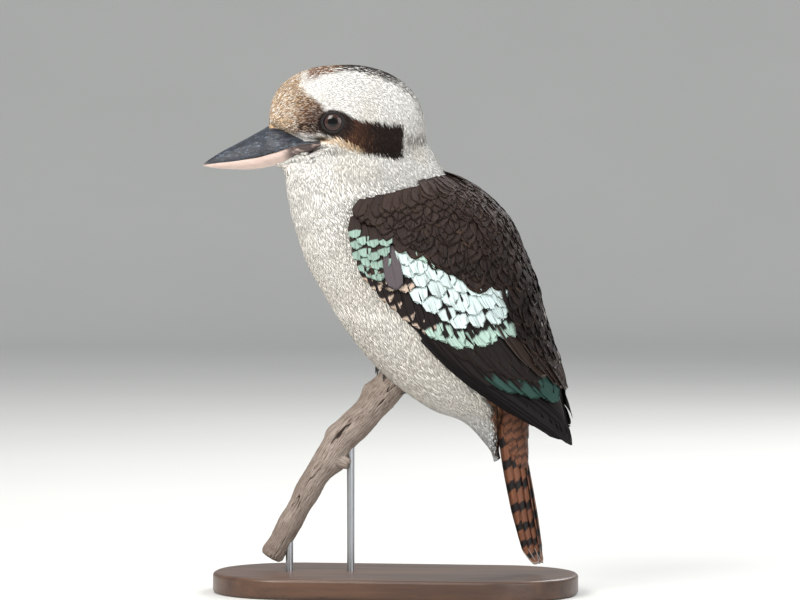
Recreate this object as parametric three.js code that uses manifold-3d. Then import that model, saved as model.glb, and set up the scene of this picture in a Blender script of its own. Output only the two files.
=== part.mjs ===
// A laughing kookaburra at life size, perched on the end of a short cut branch that a display stand holds.
// Millimetres, +Z up. The bird faces -X, its plane of symmetry is y = 0, and its left side is -Y.
// The origin is the middle of the underside of the stand's base.
import * as THREE from "three";
import { mergeVertices } from "three/addons/utils/BufferGeometryUtils.js";
import Module from "manifold-3d";

const wasm = await Module();
wasm.setup();

// Gap between pieces that touch, and the wider one where a slope lies in its socket
const GAP = 0.3;
const SOCKET_GAP = 0.5;
const HALF_TURN = Math.PI;

// Sections of head and trunk: sides, steps along, and the powers that square them off across and upwards
const FLESH = { sides: 22, headSteps: 17, trunkSteps: 22, headAcross: 0.86, headUp: 0.94, shellAcross: 0.92 };

// Head: station x, crown height, throat height and half width, from the brow back to the nape
const HEAD = [
  [-86.4, 323, 304, 6],
  [-85, 334, 296, 12],
  [-82, 342, 291, 16],
  [-76, 349.5, 288, 18.4],
  [-67, 355, 285, 22],
  [-56, 359, 282, 26.2],
  [-42, 360.5, 280, 30.4],
  [-26, 360.5, 279, 32.6],
  [-10, 357, 280, 33.2],
  [3, 350.5, 285, 31],
  [13, 341, 291, 26],
  [18, 330, 299, 18.5],
  [20.5, 319, 308, 8],
];

// Neck and trunk: back line (x, z), belly line (x, z) and half width, from inside the head to the vent
const TRUNK = [
  [2, 331, -65, 301, 16],
  [20, 311, -75, 285, 31],
  [36, 287, -73, 262, 37.5],
  [59, 271, -68, 242, 45],
  [75, 253, -61, 223, 50],
  [83, 232, -50, 204, 53],
  [87, 209, -36, 182, 54],
  [87, 182, -21, 163, 51],
  [85, 159, -2, 144, 44],
  [82, 139, 24, 126, 33],
  [77, 121, 46, 118, 21],
  [73, 107, 61, 103, 12],
  [71, 97, 67, 94, 4],
];

// Roof of the folded wings, in the same form: the outer face of the feathers, from collar to wing tips
const ROOF = [
  [36, 289, -76, 260, 41.5],
  [60, 273, -71, 240.4, 50],
  [77, 255, -64, 221.4, 55.2],
  [87, 233, -53, 202.4, 58.2],
  [95, 212, -39, 180.4, 59],
  [100, 192, -23, 157.4, 56.5],
  [106, 172, 1, 134.6, 51],
  [113, 153, 30, 116, 43],
  [118, 136, 56, 105, 34],
  [123, 120, 82, 97, 26],
  [126, 104, 109, 92, 19],
];

// Bill: station x, culmen, mouth line and keel heights and half width, from the tip back to the gape
const BILL = [
  [-133, 292.6, 291.9, 291.3, 0.8],
  [-128, 296, 292.6, 290.5, 2.4],
  [-120.8, 300.3, 293.5, 289.6, 4.6],
  [-112, 304.8, 294.4, 289.2, 7],
  [-101.6, 310.2, 295.9, 289, 9.6],
  [-92.4, 315.2, 297.4, 289.9, 12.2],
  [-85.8, 318.6, 299.2, 291.2, 14.4],
  [-77.2, 318, 301.5, 292.6, 16.8],
  [-69.3, 314.4, 304.2, 295.2, 19.8],
  [-59, 311.2, 306.1, 298.4, 23.4],
  [-47.5, 309.2, 307.4, 303.4, 27.2],
];
const BILL_SECTION = { sides: 8, steps: 16, upperPower: 1.15, lowerPower: 0.9 };
const NOSTRIL = { x: -79.5, y: 14, z: 311.5, length: 4.2, depth: 12, height: 1.3, lean: 0.45 };

const EYE = { x: -38, z: 321, y: 25.3, radius: 8.5, detail: 2 };
const LID = { reach: 31.6, ring: 7, thick: 1.25, sides: 5, steps: 14 };

// Planes that part head from neck and neck from trunk, each by two points (x, z) in the plane of symmetry
const THROAT_CUT = [-74, 283, 20, 310];
const SHOULDER_CUT = [-72, 251.5, 37.5, 286.5];

// Perch: centre line (x, y, z) and radius from the cut upper end down, and a broken twig on it
const PERCH = [
  [6.3, 0, 154.7, 11.6],
  [-1, 0, 145, 11.6],
  [-10, 0.4, 134, 11.2],
  [-21, 1.2, 121.5, 10.8],
  [-35, 2, 107, 10.9],
  [-45.5, 1.6, 92, 10],
  [-56, 0.4, 77, 8.9],
  [-64, -0.8, 62.5, 8.4],
  [-72, -1, 48, 8.2],
  [-80, -0.2, 33.5, 8.3],
  [-86, 0.4, 23.5, 8.3],
];
const BRANCH = { steps: 26, sides: 14, swellFrom: 2, swell: 0.35, swellRate: 4.1, endStep: 6 };
const TWIG = { from: [-44, 0, 92], to: [-31.5, -3, 87.5], radii: [5, 3.9, 2.6], sides: 7 };

// Feet on the cut end: spacing across the perch, and how far toes and claws reach down past its rim
const FOOT = { y: 7.1, spread: 4.3, wrap: 8.5, claw: 7.5 };
const TOE = { radius: 2.1, over: 0.6, bend: 0.7, corner: 0.4, clear: 0.5, grip: 0.2, rimLeast: 3, sides: 7 };
const TOE_TAPER = [1, 1.05, 1.05, 0.8];
const CLAW = {
  radii: [1.3, 1.1, 0.3], from: 1.5, middle: 3, rootOut: 0.4, middleOut: 0.9, tipIn: 1.4, sides: 5,
};
const PAD = { half: 4.5, heights: [2.6, 3.4, 2.8], radii: [2.6, 3.4, 3], sides: 7 };
const FOOT_ROOM = { long: 19, wide: 15.8, above: 7.6, below: 1, sides: 14 };
const TARSUS = {
  top: [15, 0, 184], radius: 3.3, foot: 5, splay: 1.6, ankle: 0.35, taper: [1, 0.95, 1.7], sides: 10,
};

// Tail: ridge from root to tip (x, z), feather pairs, and the radius and sweep of the arch that they lie on
const TAIL = {
  root: [84.2, 128], tip: [101.9, 21.5], pairs: 5, rootArch: 12.5, tipArch: 8, sweep: 60, first: 0.35,
};
const TAIL_VANE = { width: 13.5, thick: 1.1, step: 0.6, shorter: 2.9, sink: 12, steps: 4 };
const TAIL_COVERT = { length: 48, shorter: 3, rise: 2.4, fall: 2.6, thicker: 1.5, steps: 3, every: 2 };

// Flesh of the tail's root: middle (x, z), half depth and half width of ovals that lean back a little
const TAIL_FLESH = [
  [79, 132, 9.6, 13],
  [80.5, 118, 9.4, 13],
  [82, 104, 7.6, 11.5],
  [85, 90, 5.4, 9.5],
  [88, 78, 2.4, 5.5],
];
const TAIL_OVAL = { sides: 14, lean: 0.2 };

// Stand: an oval base, and two rods whose tops meet the perch
const BASE = { length: 250, width: 126, thickness: 14, corner: 60, bevel: 2.5, steps: 7 };
const ROD = { radius: 2.6, sunk: 7, sides: 16, at: [[-73, -1, 46], [-31, 1.8, 111]] };

// Rows of wing feathers. Root and tip lines run from the first feather to the last as (x, z) on the side of
// the bird, bulge bows the tip line, and lift is the height of the vane's root and tip over the roof.
const WING_ROWS = {
  primaries: {
    count: 4, width: 18, lift: [-2.9, -1.5], thick: 1.1, bulge: 2,
    roots: [[-6, 196], [26, 190]], tips: [[95, 112], [124.5, 104]],
  },
  secondaries: {
    count: 4, width: 19, lift: [-2.7, -0.6], thick: 1.2, bulge: 5,
    roots: [[14, 202], [56, 212]], tips: [[70, 139], [117, 139]],
  },
  greater: {
    count: 4, width: 19, lift: [-2.5, 0.4], thick: 1.3, bulge: -5,
    roots: [[-5, 212], [56, 214]], tips: [[7, 173], [82, 171]],
  },
  median: {
    count: 3, width: 22, lift: [-2.4, 1.1], thick: 1.3, bulge: -3,
    roots: [[-9, 229], [48, 222]], tips: [[-4, 194], [68, 188]],
  },
  lesser: {
    count: 3, width: 19, lift: [-2.3, 1.7], thick: 1.3, bulge: 0,
    roots: [[-10, 249], [25, 242]], tips: [[-8, 216], [38, 207]],
  },
  scapulars: {
    count: 4, width: 26, lift: [-1.9, 2.3], thick: 1.3, bulge: 2,
    roots: [[-9, 267], [62, 238]], tips: [[12, 228], [98, 171]],
  },
};

// The plain blade under those rows: lower edge (x, z) from shoulder to tip, and the angle of its upper edge
const WING_EDGE = [
  [-20, 254], [-23, 239], [-16.5, 219.5], [-1, 199], [18, 180.5], [42, 160], [69, 138], [94, 120],
  [121.5, 106.5],
];
const WING_BLADE = {
  top: [25, 18, 15, 14, 14, 15, 16, 18, 40], lift: -2.2, under: -9, tipThick: 1.6,
  freeFrom: 0.45, freeTo: 0.8, steps: 12, across: 4,
};

// The far wing's tip lies higher, its blade by a share of that, and each wing stops short of the middle
const FAR_TIP_RISE = 15;
const FAR_BLADE_SHARE = 0.6;
const MIDDLE_CLEAR = 0.5;

// Wing feathers: steps along one, how uneven its tip and its height are, how much higher the row's last one
// lies than its first, and the share of a row's bow that goes to each axis
const WING_VANE = {
  steps: 3, tipUneven: 0.8, liftUneven: 0.12, liftRun: 0.25, bowShare: 0.7, slopeStep: 0.04,
};
const ROUND_STEP = 0.03;

// A vane's section in shares of its half width and thickness, and its outline from root 0 to tip 1
const VANE_SECTION = { droop: 0.06, edge: 0.25, crown: 0.55, under: 0.35, inset: 0.96 };
const VANE_OUTLINE = { root: 0.5, widest: 0.6, tipFrom: 0.7, tipLoss: 0.62 };

// The roof is read a little past its ends, and not quite to its back and belly lines
const ROOF_PAST = 0.8;
const ROOF_EDGE = 0.004;
const HALVINGS = 40;

const TINT = {
  white: 0xf1ece4, breast: 0xf3efe8, belly: 0xece5da, slate: 0x3d444c, horn: 0xd9b5a4, eye: 0x2a1a12,
  wing: 0x33271f, scales: 0x6b6a60, rufous: 0x8c4a2a, steel: 0xb9bcc0, board: 0x4a3323, bark: 0x9c8876,
};

// Seeded numbers from -1 to 1, so that no two feathers lie quite alike and every build gives the same ones
const SERIES = { factor: 16807, modulus: 2147483647 };
let seed = 7;
function uneven(amount) {
  seed = (seed * SERIES.factor) % SERIES.modulus;
  return (seed / SERIES.modulus - 0.5) * 2 * amount;
}

// Catmull-Rom interpolation of rows of numbers at t, counted in rows, straight on past both ends
function rowAt(rows, t) {
  const last = rows.length - 1;
  const i = Math.min(Math.max(Math.floor(t), 0), last - 1);
  const f = t - i;
  const a = rows[i];
  const b = rows[i + 1];
  if (f < 0 || f > 1) return a.map((v, k) => v + (b[k] - v) * f);
  const before = rows[i - 1] ?? a.map((v, k) => 2 * v - b[k]);
  const after = rows[i + 2] ?? b.map((v, k) => 2 * v - a[k]);
  return a.map((v, k) => {
    const slopeA = (b[k] - before[k]) / 2;
    const slopeB = (after[k] - v) / 2;
    const rise = b[k] - v;
    return v + f * (slopeA + f * (3 * rise - 2 * slopeA - slopeB + f * (slopeA + slopeB - 2 * rise)));
  });
}

// A closed mesh through rings of points, each end closed by a fan to the middle of its ring
function loft(rings) {
  const sides = rings[0].length;
  const points = rings.flat();
  const ends = [rings[0], rings[rings.length - 1]];
  for (const ring of ends) {
    const middle = new THREE.Vector3();
    ring.forEach((p) => middle.addScaledVector(p, 1 / sides));
    points.push(middle);
  }
  const faces = [];
  for (let i = 0; i + 1 < rings.length; i++) {
    for (let j = 0; j < sides; j++) {
      const a = i * sides + j;
      const b = i * sides + ((j + 1) % sides);
      faces.push(a, b, b + sides, a, b + sides, a + sides);
    }
  }
  const last = (rings.length - 1) * sides;
  for (let j = 0; j < sides; j++) {
    const k = (j + 1) % sides;
    faces.push(k, j, points.length - 2);
    faces.push(last + j, last + k, points.length - 1);
  }
  const geometry = new THREE.BufferGeometry().setFromPoints(points);
  geometry.setIndex(faces);
  return geometry;
}

// A geometry as a solid, turned the right way out
function solid(geometry) {
  const plain = geometry.clone();
  plain.deleteAttribute("normal");
  plain.deleteAttribute("uv");
  const merged = mergeVertices(plain, 1e-4);
  const faces = new Uint32Array(merged.index.array);
  const build = (triVerts) => {
    const vertProperties = new Float32Array(merged.attributes.position.array);
    return new wasm.Manifold(new wasm.Mesh({ numProp: 3, vertProperties, triVerts }));
  };
  const made = build(faces);
  if (made.volume() > 0) return made;
  for (let i = 0; i < faces.length; i += 3) [faces[i + 1], faces[i + 2]] = [faces[i + 2], faces[i + 1]];
  return build(faces);
}

// The largest closed surface of a solid
function largest(made) {
  return made.decompose().sort((a, b) => b.volume() - a.volume())[0];
}

const union = (solids) => solids.reduce((all, one) => all.add(one));

// A solid as a named mesh with its own material
function mesh(name, made, colour, roughness = 0.8, metalness = 0) {
  const cut = largest(made).getMesh();
  const geometry = new THREE.BufferGeometry();
  const corners = new Float32Array(cut.numVert * 3);
  for (let i = 0; i < cut.numVert; i++) {
    corners.set(cut.vertProperties.subarray(i * cut.numProp, i * cut.numProp + 3), i * 3);
  }
  geometry.setAttribute("position", new THREE.BufferAttribute(corners, 3));
  geometry.setIndex(new THREE.BufferAttribute(new Uint32Array(cut.triVerts), 1));
  geometry.computeVertexNormals();
  const material = new THREE.MeshStandardMaterial({ color: colour, roughness, metalness });
  const named = new THREE.Mesh(geometry, material);
  named.name = name;
  return named;
}

// The half of a solid above or below a plane through two points (x, z), half a gap clear of it
function side(made, [x0, z0, x1, z1], above) {
  const run = Math.hypot(x1 - x0, z1 - z0);
  const normal = [-(z1 - z0) / run, 0, (x1 - x0) / run];
  const level = normal[0] * x0 + normal[2] * z0;
  if (above) return made.trimByPlane(normal, level + GAP / 2);
  return made.trimByPlane(normal.map((v) => -v), -level + GAP / 2);
}

// Head: oval sections across X, a little square at the cheeks and flat at the crown
function headSolid(grow = 0) {
  const rings = [];
  const steps = FLESH.headSteps;
  for (let i = 0; i <= steps; i++) {
    const [x, top, bottom, half] = rowAt(HEAD, (i / steps) * (HEAD.length - 1));
    const ring = [];
    for (let j = 0; j < FLESH.sides; j++) {
      const a = (j / FLESH.sides) * 2 * HALF_TURN;
      const across = Math.sign(Math.sin(a)) * Math.abs(Math.sin(a)) ** FLESH.headAcross;
      const up = Math.sign(Math.cos(a)) * Math.abs(Math.cos(a)) ** FLESH.headUp;
      const z = (top + bottom) / 2 + up * ((top - bottom) / 2 + grow);
      ring.push(new THREE.Vector3(x, across * (half + grow), z));
    }
    rings.push(ring);
  }
  return solid(loft(rings));
}

// A point on a shell of stations, at angle a from the back line round to the belly line, raised by lift
function shellPoint(rows, s, a, lift, hand = -1) {
  const [backX, backZ, bellyX, bellyZ, half] = rowAt(rows, s);
  const middle = new THREE.Vector3((backX + bellyX) / 2, 0, (backZ + bellyZ) / 2);
  const reach = new THREE.Vector3(backX - bellyX, 0, backZ - bellyZ).multiplyScalar(0.5);
  const long = reach.length();
  const up = Math.cos(a);
  const across = Math.sign(Math.sin(a)) * Math.abs(Math.sin(a)) ** FLESH.shellAcross;
  return middle
    .addScaledVector(reach, (up * (long + lift)) / long)
    .add(new THREE.Vector3(0, hand * across * (half + lift), 0));
}

// Neck and trunk
function trunkSolid(grow = 0) {
  const rings = [];
  const steps = FLESH.trunkSteps;
  for (let i = 0; i <= steps; i++) {
    const ring = [];
    for (let j = 0; j < FLESH.sides; j++) {
      ring.push(shellPoint(TRUNK, (i / steps) * (TRUNK.length - 1), (j / FLESH.sides) * 2 * HALF_TURN, grow));
    }
    rings.push(ring);
  }
  return solid(loft(rings));
}

// A round tube through points with a radius at each, closed at both ends
function tube(points, radii, sides, grow = 0) {
  const path = points.map((p) => new THREE.Vector3(...p));
  const rings = path.map((p, i) => {
    const ahead = path[Math.min(i + 1, path.length - 1)];
    const behind = path[Math.max(i - 1, 0)];
    const along = ahead.clone().sub(behind).normalize();
    const right = new THREE.Vector3(0, 1, 0).addScaledVector(along, -along.y).normalize();
    const up = new THREE.Vector3().crossVectors(along, right);
    const ring = [];
    for (let j = 0; j < sides; j++) {
      const a = (j / sides) * 2 * HALF_TURN;
      const r = radii[i] + grow;
      ring.push(p.clone().addScaledVector(right, r * Math.cos(a)).addScaledVector(up, r * Math.sin(a)));
    }
    return ring;
  });
  return solid(loft(rings));
}

// Upper or lower half of the bill, a half oval over or under the mouth line
function billSolid(upper, grow = 0) {
  const rings = [];
  const { sides, steps } = BILL_SECTION;
  const power = upper ? BILL_SECTION.upperPower : BILL_SECTION.lowerPower;
  for (let i = 0; i <= steps; i++) {
    const [x, culmen, mouth, keel, half] = rowAt(BILL, (i / steps) * (BILL.length - 1));
    const sign = upper ? 1 : -1;
    const tall = upper ? culmen - mouth : mouth - keel;
    const at = (y, rise) => new THREE.Vector3(x, y, mouth + sign * (rise + GAP / 2));
    const ring = [];
    for (let j = 0; j <= sides; j++) {
      const a = (j / sides) * HALF_TURN;
      const rise = Math.abs(Math.sin(a)) ** power * tall;
      ring.push(at(-Math.cos(a) * (half + grow), rise + grow));
    }
    if (grow) ring.push(at(half + grow, -grow), at(-half - grow, -grow));
    rings.push(ring);
  }
  rings[0].forEach((p) => { p.x -= grow; });
  rings[rings.length - 1].forEach((p) => { p.x += grow; });
  return solid(loft(rings));
}

// A nostril slit on one side, to be cut from the upper bill
function nostrilSolid(hand) {
  const slit = new THREE.SphereGeometry(1, 8, 6);
  slit.scale(NOSTRIL.length / 2, NOSTRIL.depth / 2, NOSTRIL.height / 2);
  slit.rotateY(NOSTRIL.lean);
  slit.translate(NOSTRIL.x, hand * NOSTRIL.y, NOSTRIL.z);
  return solid(slit);
}

// Eyeball of one side
function eyeSolid(hand, grow = 0) {
  const ball = new THREE.IcosahedronGeometry(EYE.radius + grow, EYE.detail);
  return solid(ball.translate(EYE.x, hand * EYE.y, EYE.z));
}

// The lids of one side, as a ring round the eye's opening
function lidSolid(hand) {
  const ring = new THREE.TorusGeometry(LID.ring, LID.thick, LID.sides, LID.steps).rotateX(HALF_TURN / 2);
  return solid(ring.translate(EYE.x, hand * LID.reach, EYE.z));
}

// Perch: a wavering, tapering branch with swellings, cut square at both ends, and a broken twig
function perchSolid(grow = 0) {
  const steps = BRANCH.steps;
  const points = [];
  const radii = [];
  for (let i = 0; i <= steps; i++) {
    const t = (i / steps) * (PERCH.length - 1);
    const [x, y, z, radius] = rowAt(PERCH, t);
    points.push([x, y, z]);
    radii.push(radius + (t > BRANCH.swellFrom ? BRANCH.swell * Math.sin(t * BRANCH.swellRate) : 0));
  }
  const stretch = (p, q) => p.map((v, k) => v + (v - q[k]) * (grow / BRANCH.endStep));
  points[0] = stretch(points[0], points[1]);
  points[steps] = stretch(points[steps], points[steps - 1]);
  const twigMiddle = TWIG.from.map((v, k) => (v + TWIG.to[k]) / 2);
  const twig = tube([TWIG.from, twigMiddle, TWIG.to], TWIG.radii, TWIG.sides, grow);
  return tube(points, radii, BRANCH.sides, grow).add(twig);
}

// The frame of the perch's cut end: its middle, the way out of it, and the way to its front rim
const perchEnd = new THREE.Vector3(PERCH[0][0], PERCH[0][1], PERCH[0][2]);
const outward = perchEnd.clone().sub(new THREE.Vector3(...PERCH[2].slice(0, 3))).setY(0).normalize();
const frontward = new THREE.Vector3(-outward.z, 0, outward.x);

// A point over the cut end: out along the perch, forward to the rim, and across
function overEnd(out, forward, y) {
  const p = perchEnd.clone().addScaledVector(outward, out).addScaledVector(frontward, forward);
  return [p.x, y, p.z];
}

// One toe and its claw from the pad over the rim and down the side of the perch
function toeSolids(y, way, grow) {
  const rim = Math.sqrt(Math.max(PERCH[0][3] ** 2 - y ** 2, TOE.rimLeast ** 2)) * way;
  const out = TOE.radius + GAP;
  const toe = [
    overEnd(out + TOE.over, 0, y), overEnd(out + TOE.over, rim * TOE.bend, y),
    overEnd(TOE.corner, rim + way * (out + TOE.clear), y),
    overEnd(-FOOT.wrap, rim + way * (out - TOE.grip), y),
  ];
  const claw = [
    overEnd(-FOOT.wrap + CLAW.from, rim + way * (out + CLAW.rootOut), y),
    overEnd(-FOOT.wrap - CLAW.middle, rim + way * (out + CLAW.middleOut), y),
    overEnd(-FOOT.wrap - FOOT.claw, rim + way * (out - CLAW.tipIn), y),
  ];
  const radii = TOE_TAPER.map((share) => share * TOE.radius);
  return [tube(toe, radii, TOE.sides, grow), tube(claw, CLAW.radii, CLAW.sides, grow)];
}

// A foot: pad, three toes forward and one back
function footSolid(hand, grow = 0) {
  const y = hand * FOOT.y;
  const line = PAD.heights.map((out, i) => overEnd(out, (i - 1) * PAD.half, y));
  const pad = tube(line, PAD.radii, PAD.sides, grow);
  const parts = [pad, ...toeSolids(y, -1, grow)];
  for (const k of [-1, 0, 1]) parts.push(...toeSolids(y + k * FOOT.spread, 1, grow));
  return union(parts);
}

// Room in the belly for both feet: an oval well round the end of the perch
function footRoom() {
  const rings = [-FOOT.wrap - FOOT.claw - FOOT_ROOM.below, 0, FOOT_ROOM.above].map((out) => {
    const ring = [];
    for (let j = 0; j < FOOT_ROOM.sides; j++) {
      const a = (j / FOOT_ROOM.sides) * 2 * HALF_TURN;
      const place = overEnd(out, FOOT_ROOM.long * Math.cos(a), FOOT_ROOM.wide * Math.sin(a));
      ring.push(new THREE.Vector3(...place));
    }
    return ring;
  });
  return solid(loft(rings));
}

// A short leg from the pad up into the belly
function legSolid(hand, grow = 0) {
  const y = hand * FOOT.y;
  const foot = overEnd(TARSUS.foot, 0, y);
  const [x, , z] = TARSUS.top;
  const knee = [x, y * TARSUS.splay, z];
  const ankle = foot.map((v, k) => v + (knee[k] - v) * TARSUS.ankle);
  const radii = TARSUS.taper.map((share) => share * TARSUS.radius);
  return tube([foot, ankle, knee], radii, TARSUS.sides, grow);
}

// The place (station, angle) on the roof of a point (x, z) of the side view
function onRoof(x, z) {
  const beside = (s) => {
    const [backX, backZ, bellyX, bellyZ] = rowAt(ROOF, s);
    return (bellyX - backX) * (z - backZ) - (bellyZ - backZ) * (x - backX);
  };
  let low = -ROOF_PAST;
  let high = ROOF.length - 1 + ROOF_PAST;
  const rising = beside(high) > beside(low);
  for (let i = 0; i < HALVINGS; i++) {
    const s = (low + high) / 2;
    if (beside(s) > 0 === rising) high = s;
    else low = s;
  }
  const [backX, backZ, bellyX, bellyZ] = rowAt(ROOF, low);
  const run = new THREE.Vector2(bellyX - backX, bellyZ - backZ);
  const share = ((x - backX) * run.x + (z - backZ) * run.y) / run.lengthSq();
  return [low, Math.acos(1 - 2 * THREE.MathUtils.clamp(share, ROOF_EDGE, 1 - ROOF_EDGE))];
}

// Five points round a thin vane at one place on it: three on the outer face, two on the inner
function vaneRing(middle, along, normal, half, thick) {
  const across = new THREE.Vector3().crossVectors(normal, along).normalize();
  const at = (b, n) => middle.clone().addScaledVector(across, b).addScaledVector(normal, n);
  const { droop, edge, crown, under, inset } = VANE_SECTION;
  const drop = -half * droop;
  return [
    at(half, drop + thick * edge), at(0, thick * crown), at(-half, drop + thick * edge),
    at(-half * inset, drop - thick * under), at(half * inset, drop - thick * under),
  ];
}

// Share of a vane's full width at t from root 0 to tip 1
function vaneWidth(t) {
  const { root, widest, tipFrom, tipLoss } = VANE_OUTLINE;
  const swell = root + (1 - root) * Math.sin(Math.min(t / widest, 1) * (HALF_TURN / 2));
  return swell - tipLoss * Math.max((t - tipFrom) / (1 - tipFrom), 0) ** 2;
}

// A wing feather that follows the roof from root to tip, both (station, angle), raised by its place in
// the stack
function wingVane(root, tip, row, hand, stack) {
  const rings = [];
  const { steps, slopeStep } = WING_VANE;
  const place = (t) => {
    const s = root[0] + (tip[0] - root[0]) * t;
    const a = root[1] + (tip[1] - root[1]) * t;
    return [s, a, row.lift[0] + (row.lift[1] - row.lift[0]) * t + stack];
  };
  for (let i = 0; i <= steps; i++) {
    const t = i / steps;
    const [s, a, lift] = place(t);
    const middle = shellPoint(ROOF, s, a, lift, hand);
    const ahead = shellPoint(ROOF, ...place(t + slopeStep), hand);
    const along = ahead.sub(shellPoint(ROOF, ...place(t - slopeStep), hand)).normalize();
    const below = shellPoint(ROOF, s, a + ROUND_STEP, lift, hand);
    const round = below.sub(shellPoint(ROOF, s, a - ROUND_STEP, lift, hand));
    const normal = new THREE.Vector3().crossVectors(along, round).multiplyScalar(-hand).normalize();
    rings.push(vaneRing(middle, along, normal, (row.width / 2) * vaneWidth(t), row.thick));
  }
  return solid(loft(rings));
}

// The feathers of one row
function wingRow(row, hand, rise) {
  const feathers = [];
  for (let i = 0; i < row.count; i++) {
    const u = i / (row.count - 1);
    const mix = ([from, to]) => [0, 1].map((k) => from[k] + (to[k] - from[k]) * u);
    const root = mix(row.roots);
    const tip = mix(row.tips);
    const bow = row.bulge * Math.sin(u * HALF_TURN);
    tip[0] += bow * WING_VANE.bowShare + uneven(WING_VANE.tipUneven);
    tip[1] += rise - bow * WING_VANE.bowShare + uneven(WING_VANE.tipUneven);
    const stack = uneven(WING_VANE.liftUneven) + WING_VANE.liftRun * (u - 0.5);
    feathers.push(wingVane(onRoof(...root), onRoof(...tip), row, hand, stack));
  }
  return feathers;
}

// The blade that carries the feathers: a curved plate on the side of the trunk that thins out to the wing tip
function bladeSolid(hand, rise) {
  const rings = [];
  const { steps, across } = WING_BLADE;
  const last = WING_EDGE.length - 1;
  for (let i = 0; i <= steps; i++) {
    const t = (i / steps) * last;
    const share = i / steps;
    const [x, z] = rowAt(WING_EDGE, t);
    const [s, low] = onRoof(x, z + rise * share ** 2);
    const [top] = rowAt(WING_BLADE.top.map((v) => [v]), t);
    const high = THREE.MathUtils.degToRad(top);
    const free = THREE.MathUtils.smoothstep(share, WING_BLADE.freeFrom, WING_BLADE.freeTo);
    const under = THREE.MathUtils.lerp(WING_BLADE.under, WING_BLADE.lift - WING_BLADE.tipThick, free);
    const outer = [];
    const inner = [];
    for (let j = 0; j <= across; j++) {
      const v = j / across;
      const a = low + (high - low) * v;
      outer.push(shellPoint(ROOF, s, a, WING_BLADE.lift, hand));
      inner.push(shellPoint(ROOF, s, a, under, hand));
    }
    rings.push([...outer, ...inner.reverse()]);
  }
  return solid(loft(rings));
}

// One wing: the blade and its rows of feathers as one solid, kept to its own side of the middle
function wingSolid(hand) {
  const rise = hand > 0 ? FAR_TIP_RISE : 0;
  const rows = Object.entries(WING_ROWS).flatMap(([name, row]) => {
    return wingRow(row, hand, name === "primaries" ? rise : 0);
  });
  return union([bladeSolid(hand, rise * FAR_BLADE_SHARE), ...rows]).trimByPlane([0, hand, 0], MIDDLE_CLEAR);
}

// One tail feather, or its short covert near the root: vanes on an arch whose ridge is the line of the tail
function tailVane(pair, hand, covert) {
  const root = new THREE.Vector3(TAIL.root[0], 0, TAIL.root[1]);
  const tip = new THREE.Vector3(TAIL.tip[0], 0, TAIL.tip[1]);
  const along = tip.clone().sub(root).normalize();
  const back = new THREE.Vector3(-along.z, 0, along.x);
  const full = tip.distanceTo(root);
  const length = covert ? TAIL_COVERT.length - pair * TAIL_COVERT.shorter : full - pair * TAIL_VANE.shorter;
  const tilt = THREE.MathUtils.degToRad(TAIL.sweep * ((pair + TAIL.first) / (TAIL.pairs - 1 + TAIL.first)));
  const rings = [];
  const steps = covert ? TAIL_COVERT.steps : TAIL_VANE.steps;
  for (let i = 0; i <= steps; i++) {
    const t = i / steps;
    const far = -TAIL_VANE.sink + (length + TAIL_VANE.sink) * t;
    const arch = THREE.MathUtils.lerp(TAIL.rootArch, TAIL.tipArch, Math.max(far, 0) / full);
    const radius = arch + (covert ? TAIL_COVERT.rise - TAIL_COVERT.fall * t : -pair * TAIL_VANE.step);
    const out = radius * Math.cos(tilt) - arch;
    const middle = root.clone().addScaledVector(along, far).addScaledVector(back, out);
    middle.setY(hand * radius * Math.sin(tilt));
    const normal = back.clone().multiplyScalar(Math.cos(tilt)).setY(hand * Math.sin(tilt));
    const half = (TAIL_VANE.width / 2) * vaneWidth(t);
    rings.push(vaneRing(middle, along, normal, half, TAIL_VANE.thick * (covert ? TAIL_COVERT.thicker : 1)));
  }
  return solid(loft(rings));
}

// Tail: a root of flesh and coverts, and the closed fan of feathers
function tailSolid() {
  const root = [];
  for (const [x, z, deep, half] of TAIL_FLESH) {
    const ring = [];
    for (let j = 0; j < TAIL_OVAL.sides; j++) {
      const a = (j / TAIL_OVAL.sides) * 2 * HALF_TURN;
      const back = deep * Math.cos(a);
      ring.push(new THREE.Vector3(x + back, half * Math.sin(a), z + TAIL_OVAL.lean * back));
    }
    root.push(ring);
  }
  const parts = [solid(loft(root))];
  for (let pair = 0; pair < TAIL.pairs; pair++) {
    for (const hand of [-1, 1]) {
      parts.push(tailVane(pair, hand, false));
      if (pair % TAIL_COVERT.every === 0) parts.push(tailVane(pair, hand, true));
    }
  }
  return union(parts);
}

// Base: an oval board with softened edges, standing on z = 0
function baseSolid() {
  const x = BASE.length / 2 - BASE.bevel;
  const y = BASE.width / 2 - BASE.bevel;
  const r = BASE.corner - BASE.bevel;
  const outline = new THREE.Shape();
  outline.moveTo(-x + r, -y);
  outline.lineTo(x - r, -y);
  outline.absarc(x - r, -y + r, r, -HALF_TURN / 2, 0);
  outline.lineTo(x, y - r);
  outline.absarc(x - r, y - r, r, 0, HALF_TURN / 2);
  outline.lineTo(-x + r, y);
  outline.absarc(-x + r, y - r, r, HALF_TURN / 2, HALF_TURN);
  outline.lineTo(-x, -y + r);
  outline.absarc(-x + r, -y + r, r, HALF_TURN, 1.5 * HALF_TURN);
  const board = new THREE.ExtrudeGeometry(outline, {
    depth: BASE.thickness - 2 * BASE.bevel, bevelThickness: BASE.bevel, bevelSize: BASE.bevel,
    bevelSegments: 1, curveSegments: BASE.steps,
  });
  return solid(board.translate(0, 0, BASE.bevel));
}

// One rod, from inside the base up to the perch
function rodSolid([x, y, top], grow = 0) {
  const foot = BASE.thickness - ROD.sunk - grow;
  const radius = ROD.radius + grow;
  const rod = new THREE.CylinderGeometry(radius, radius, top - foot, ROD.sides).rotateX(HALF_TURN / 2);
  return solid(rod.translate(x, y, (top + foot) / 2));
}

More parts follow.
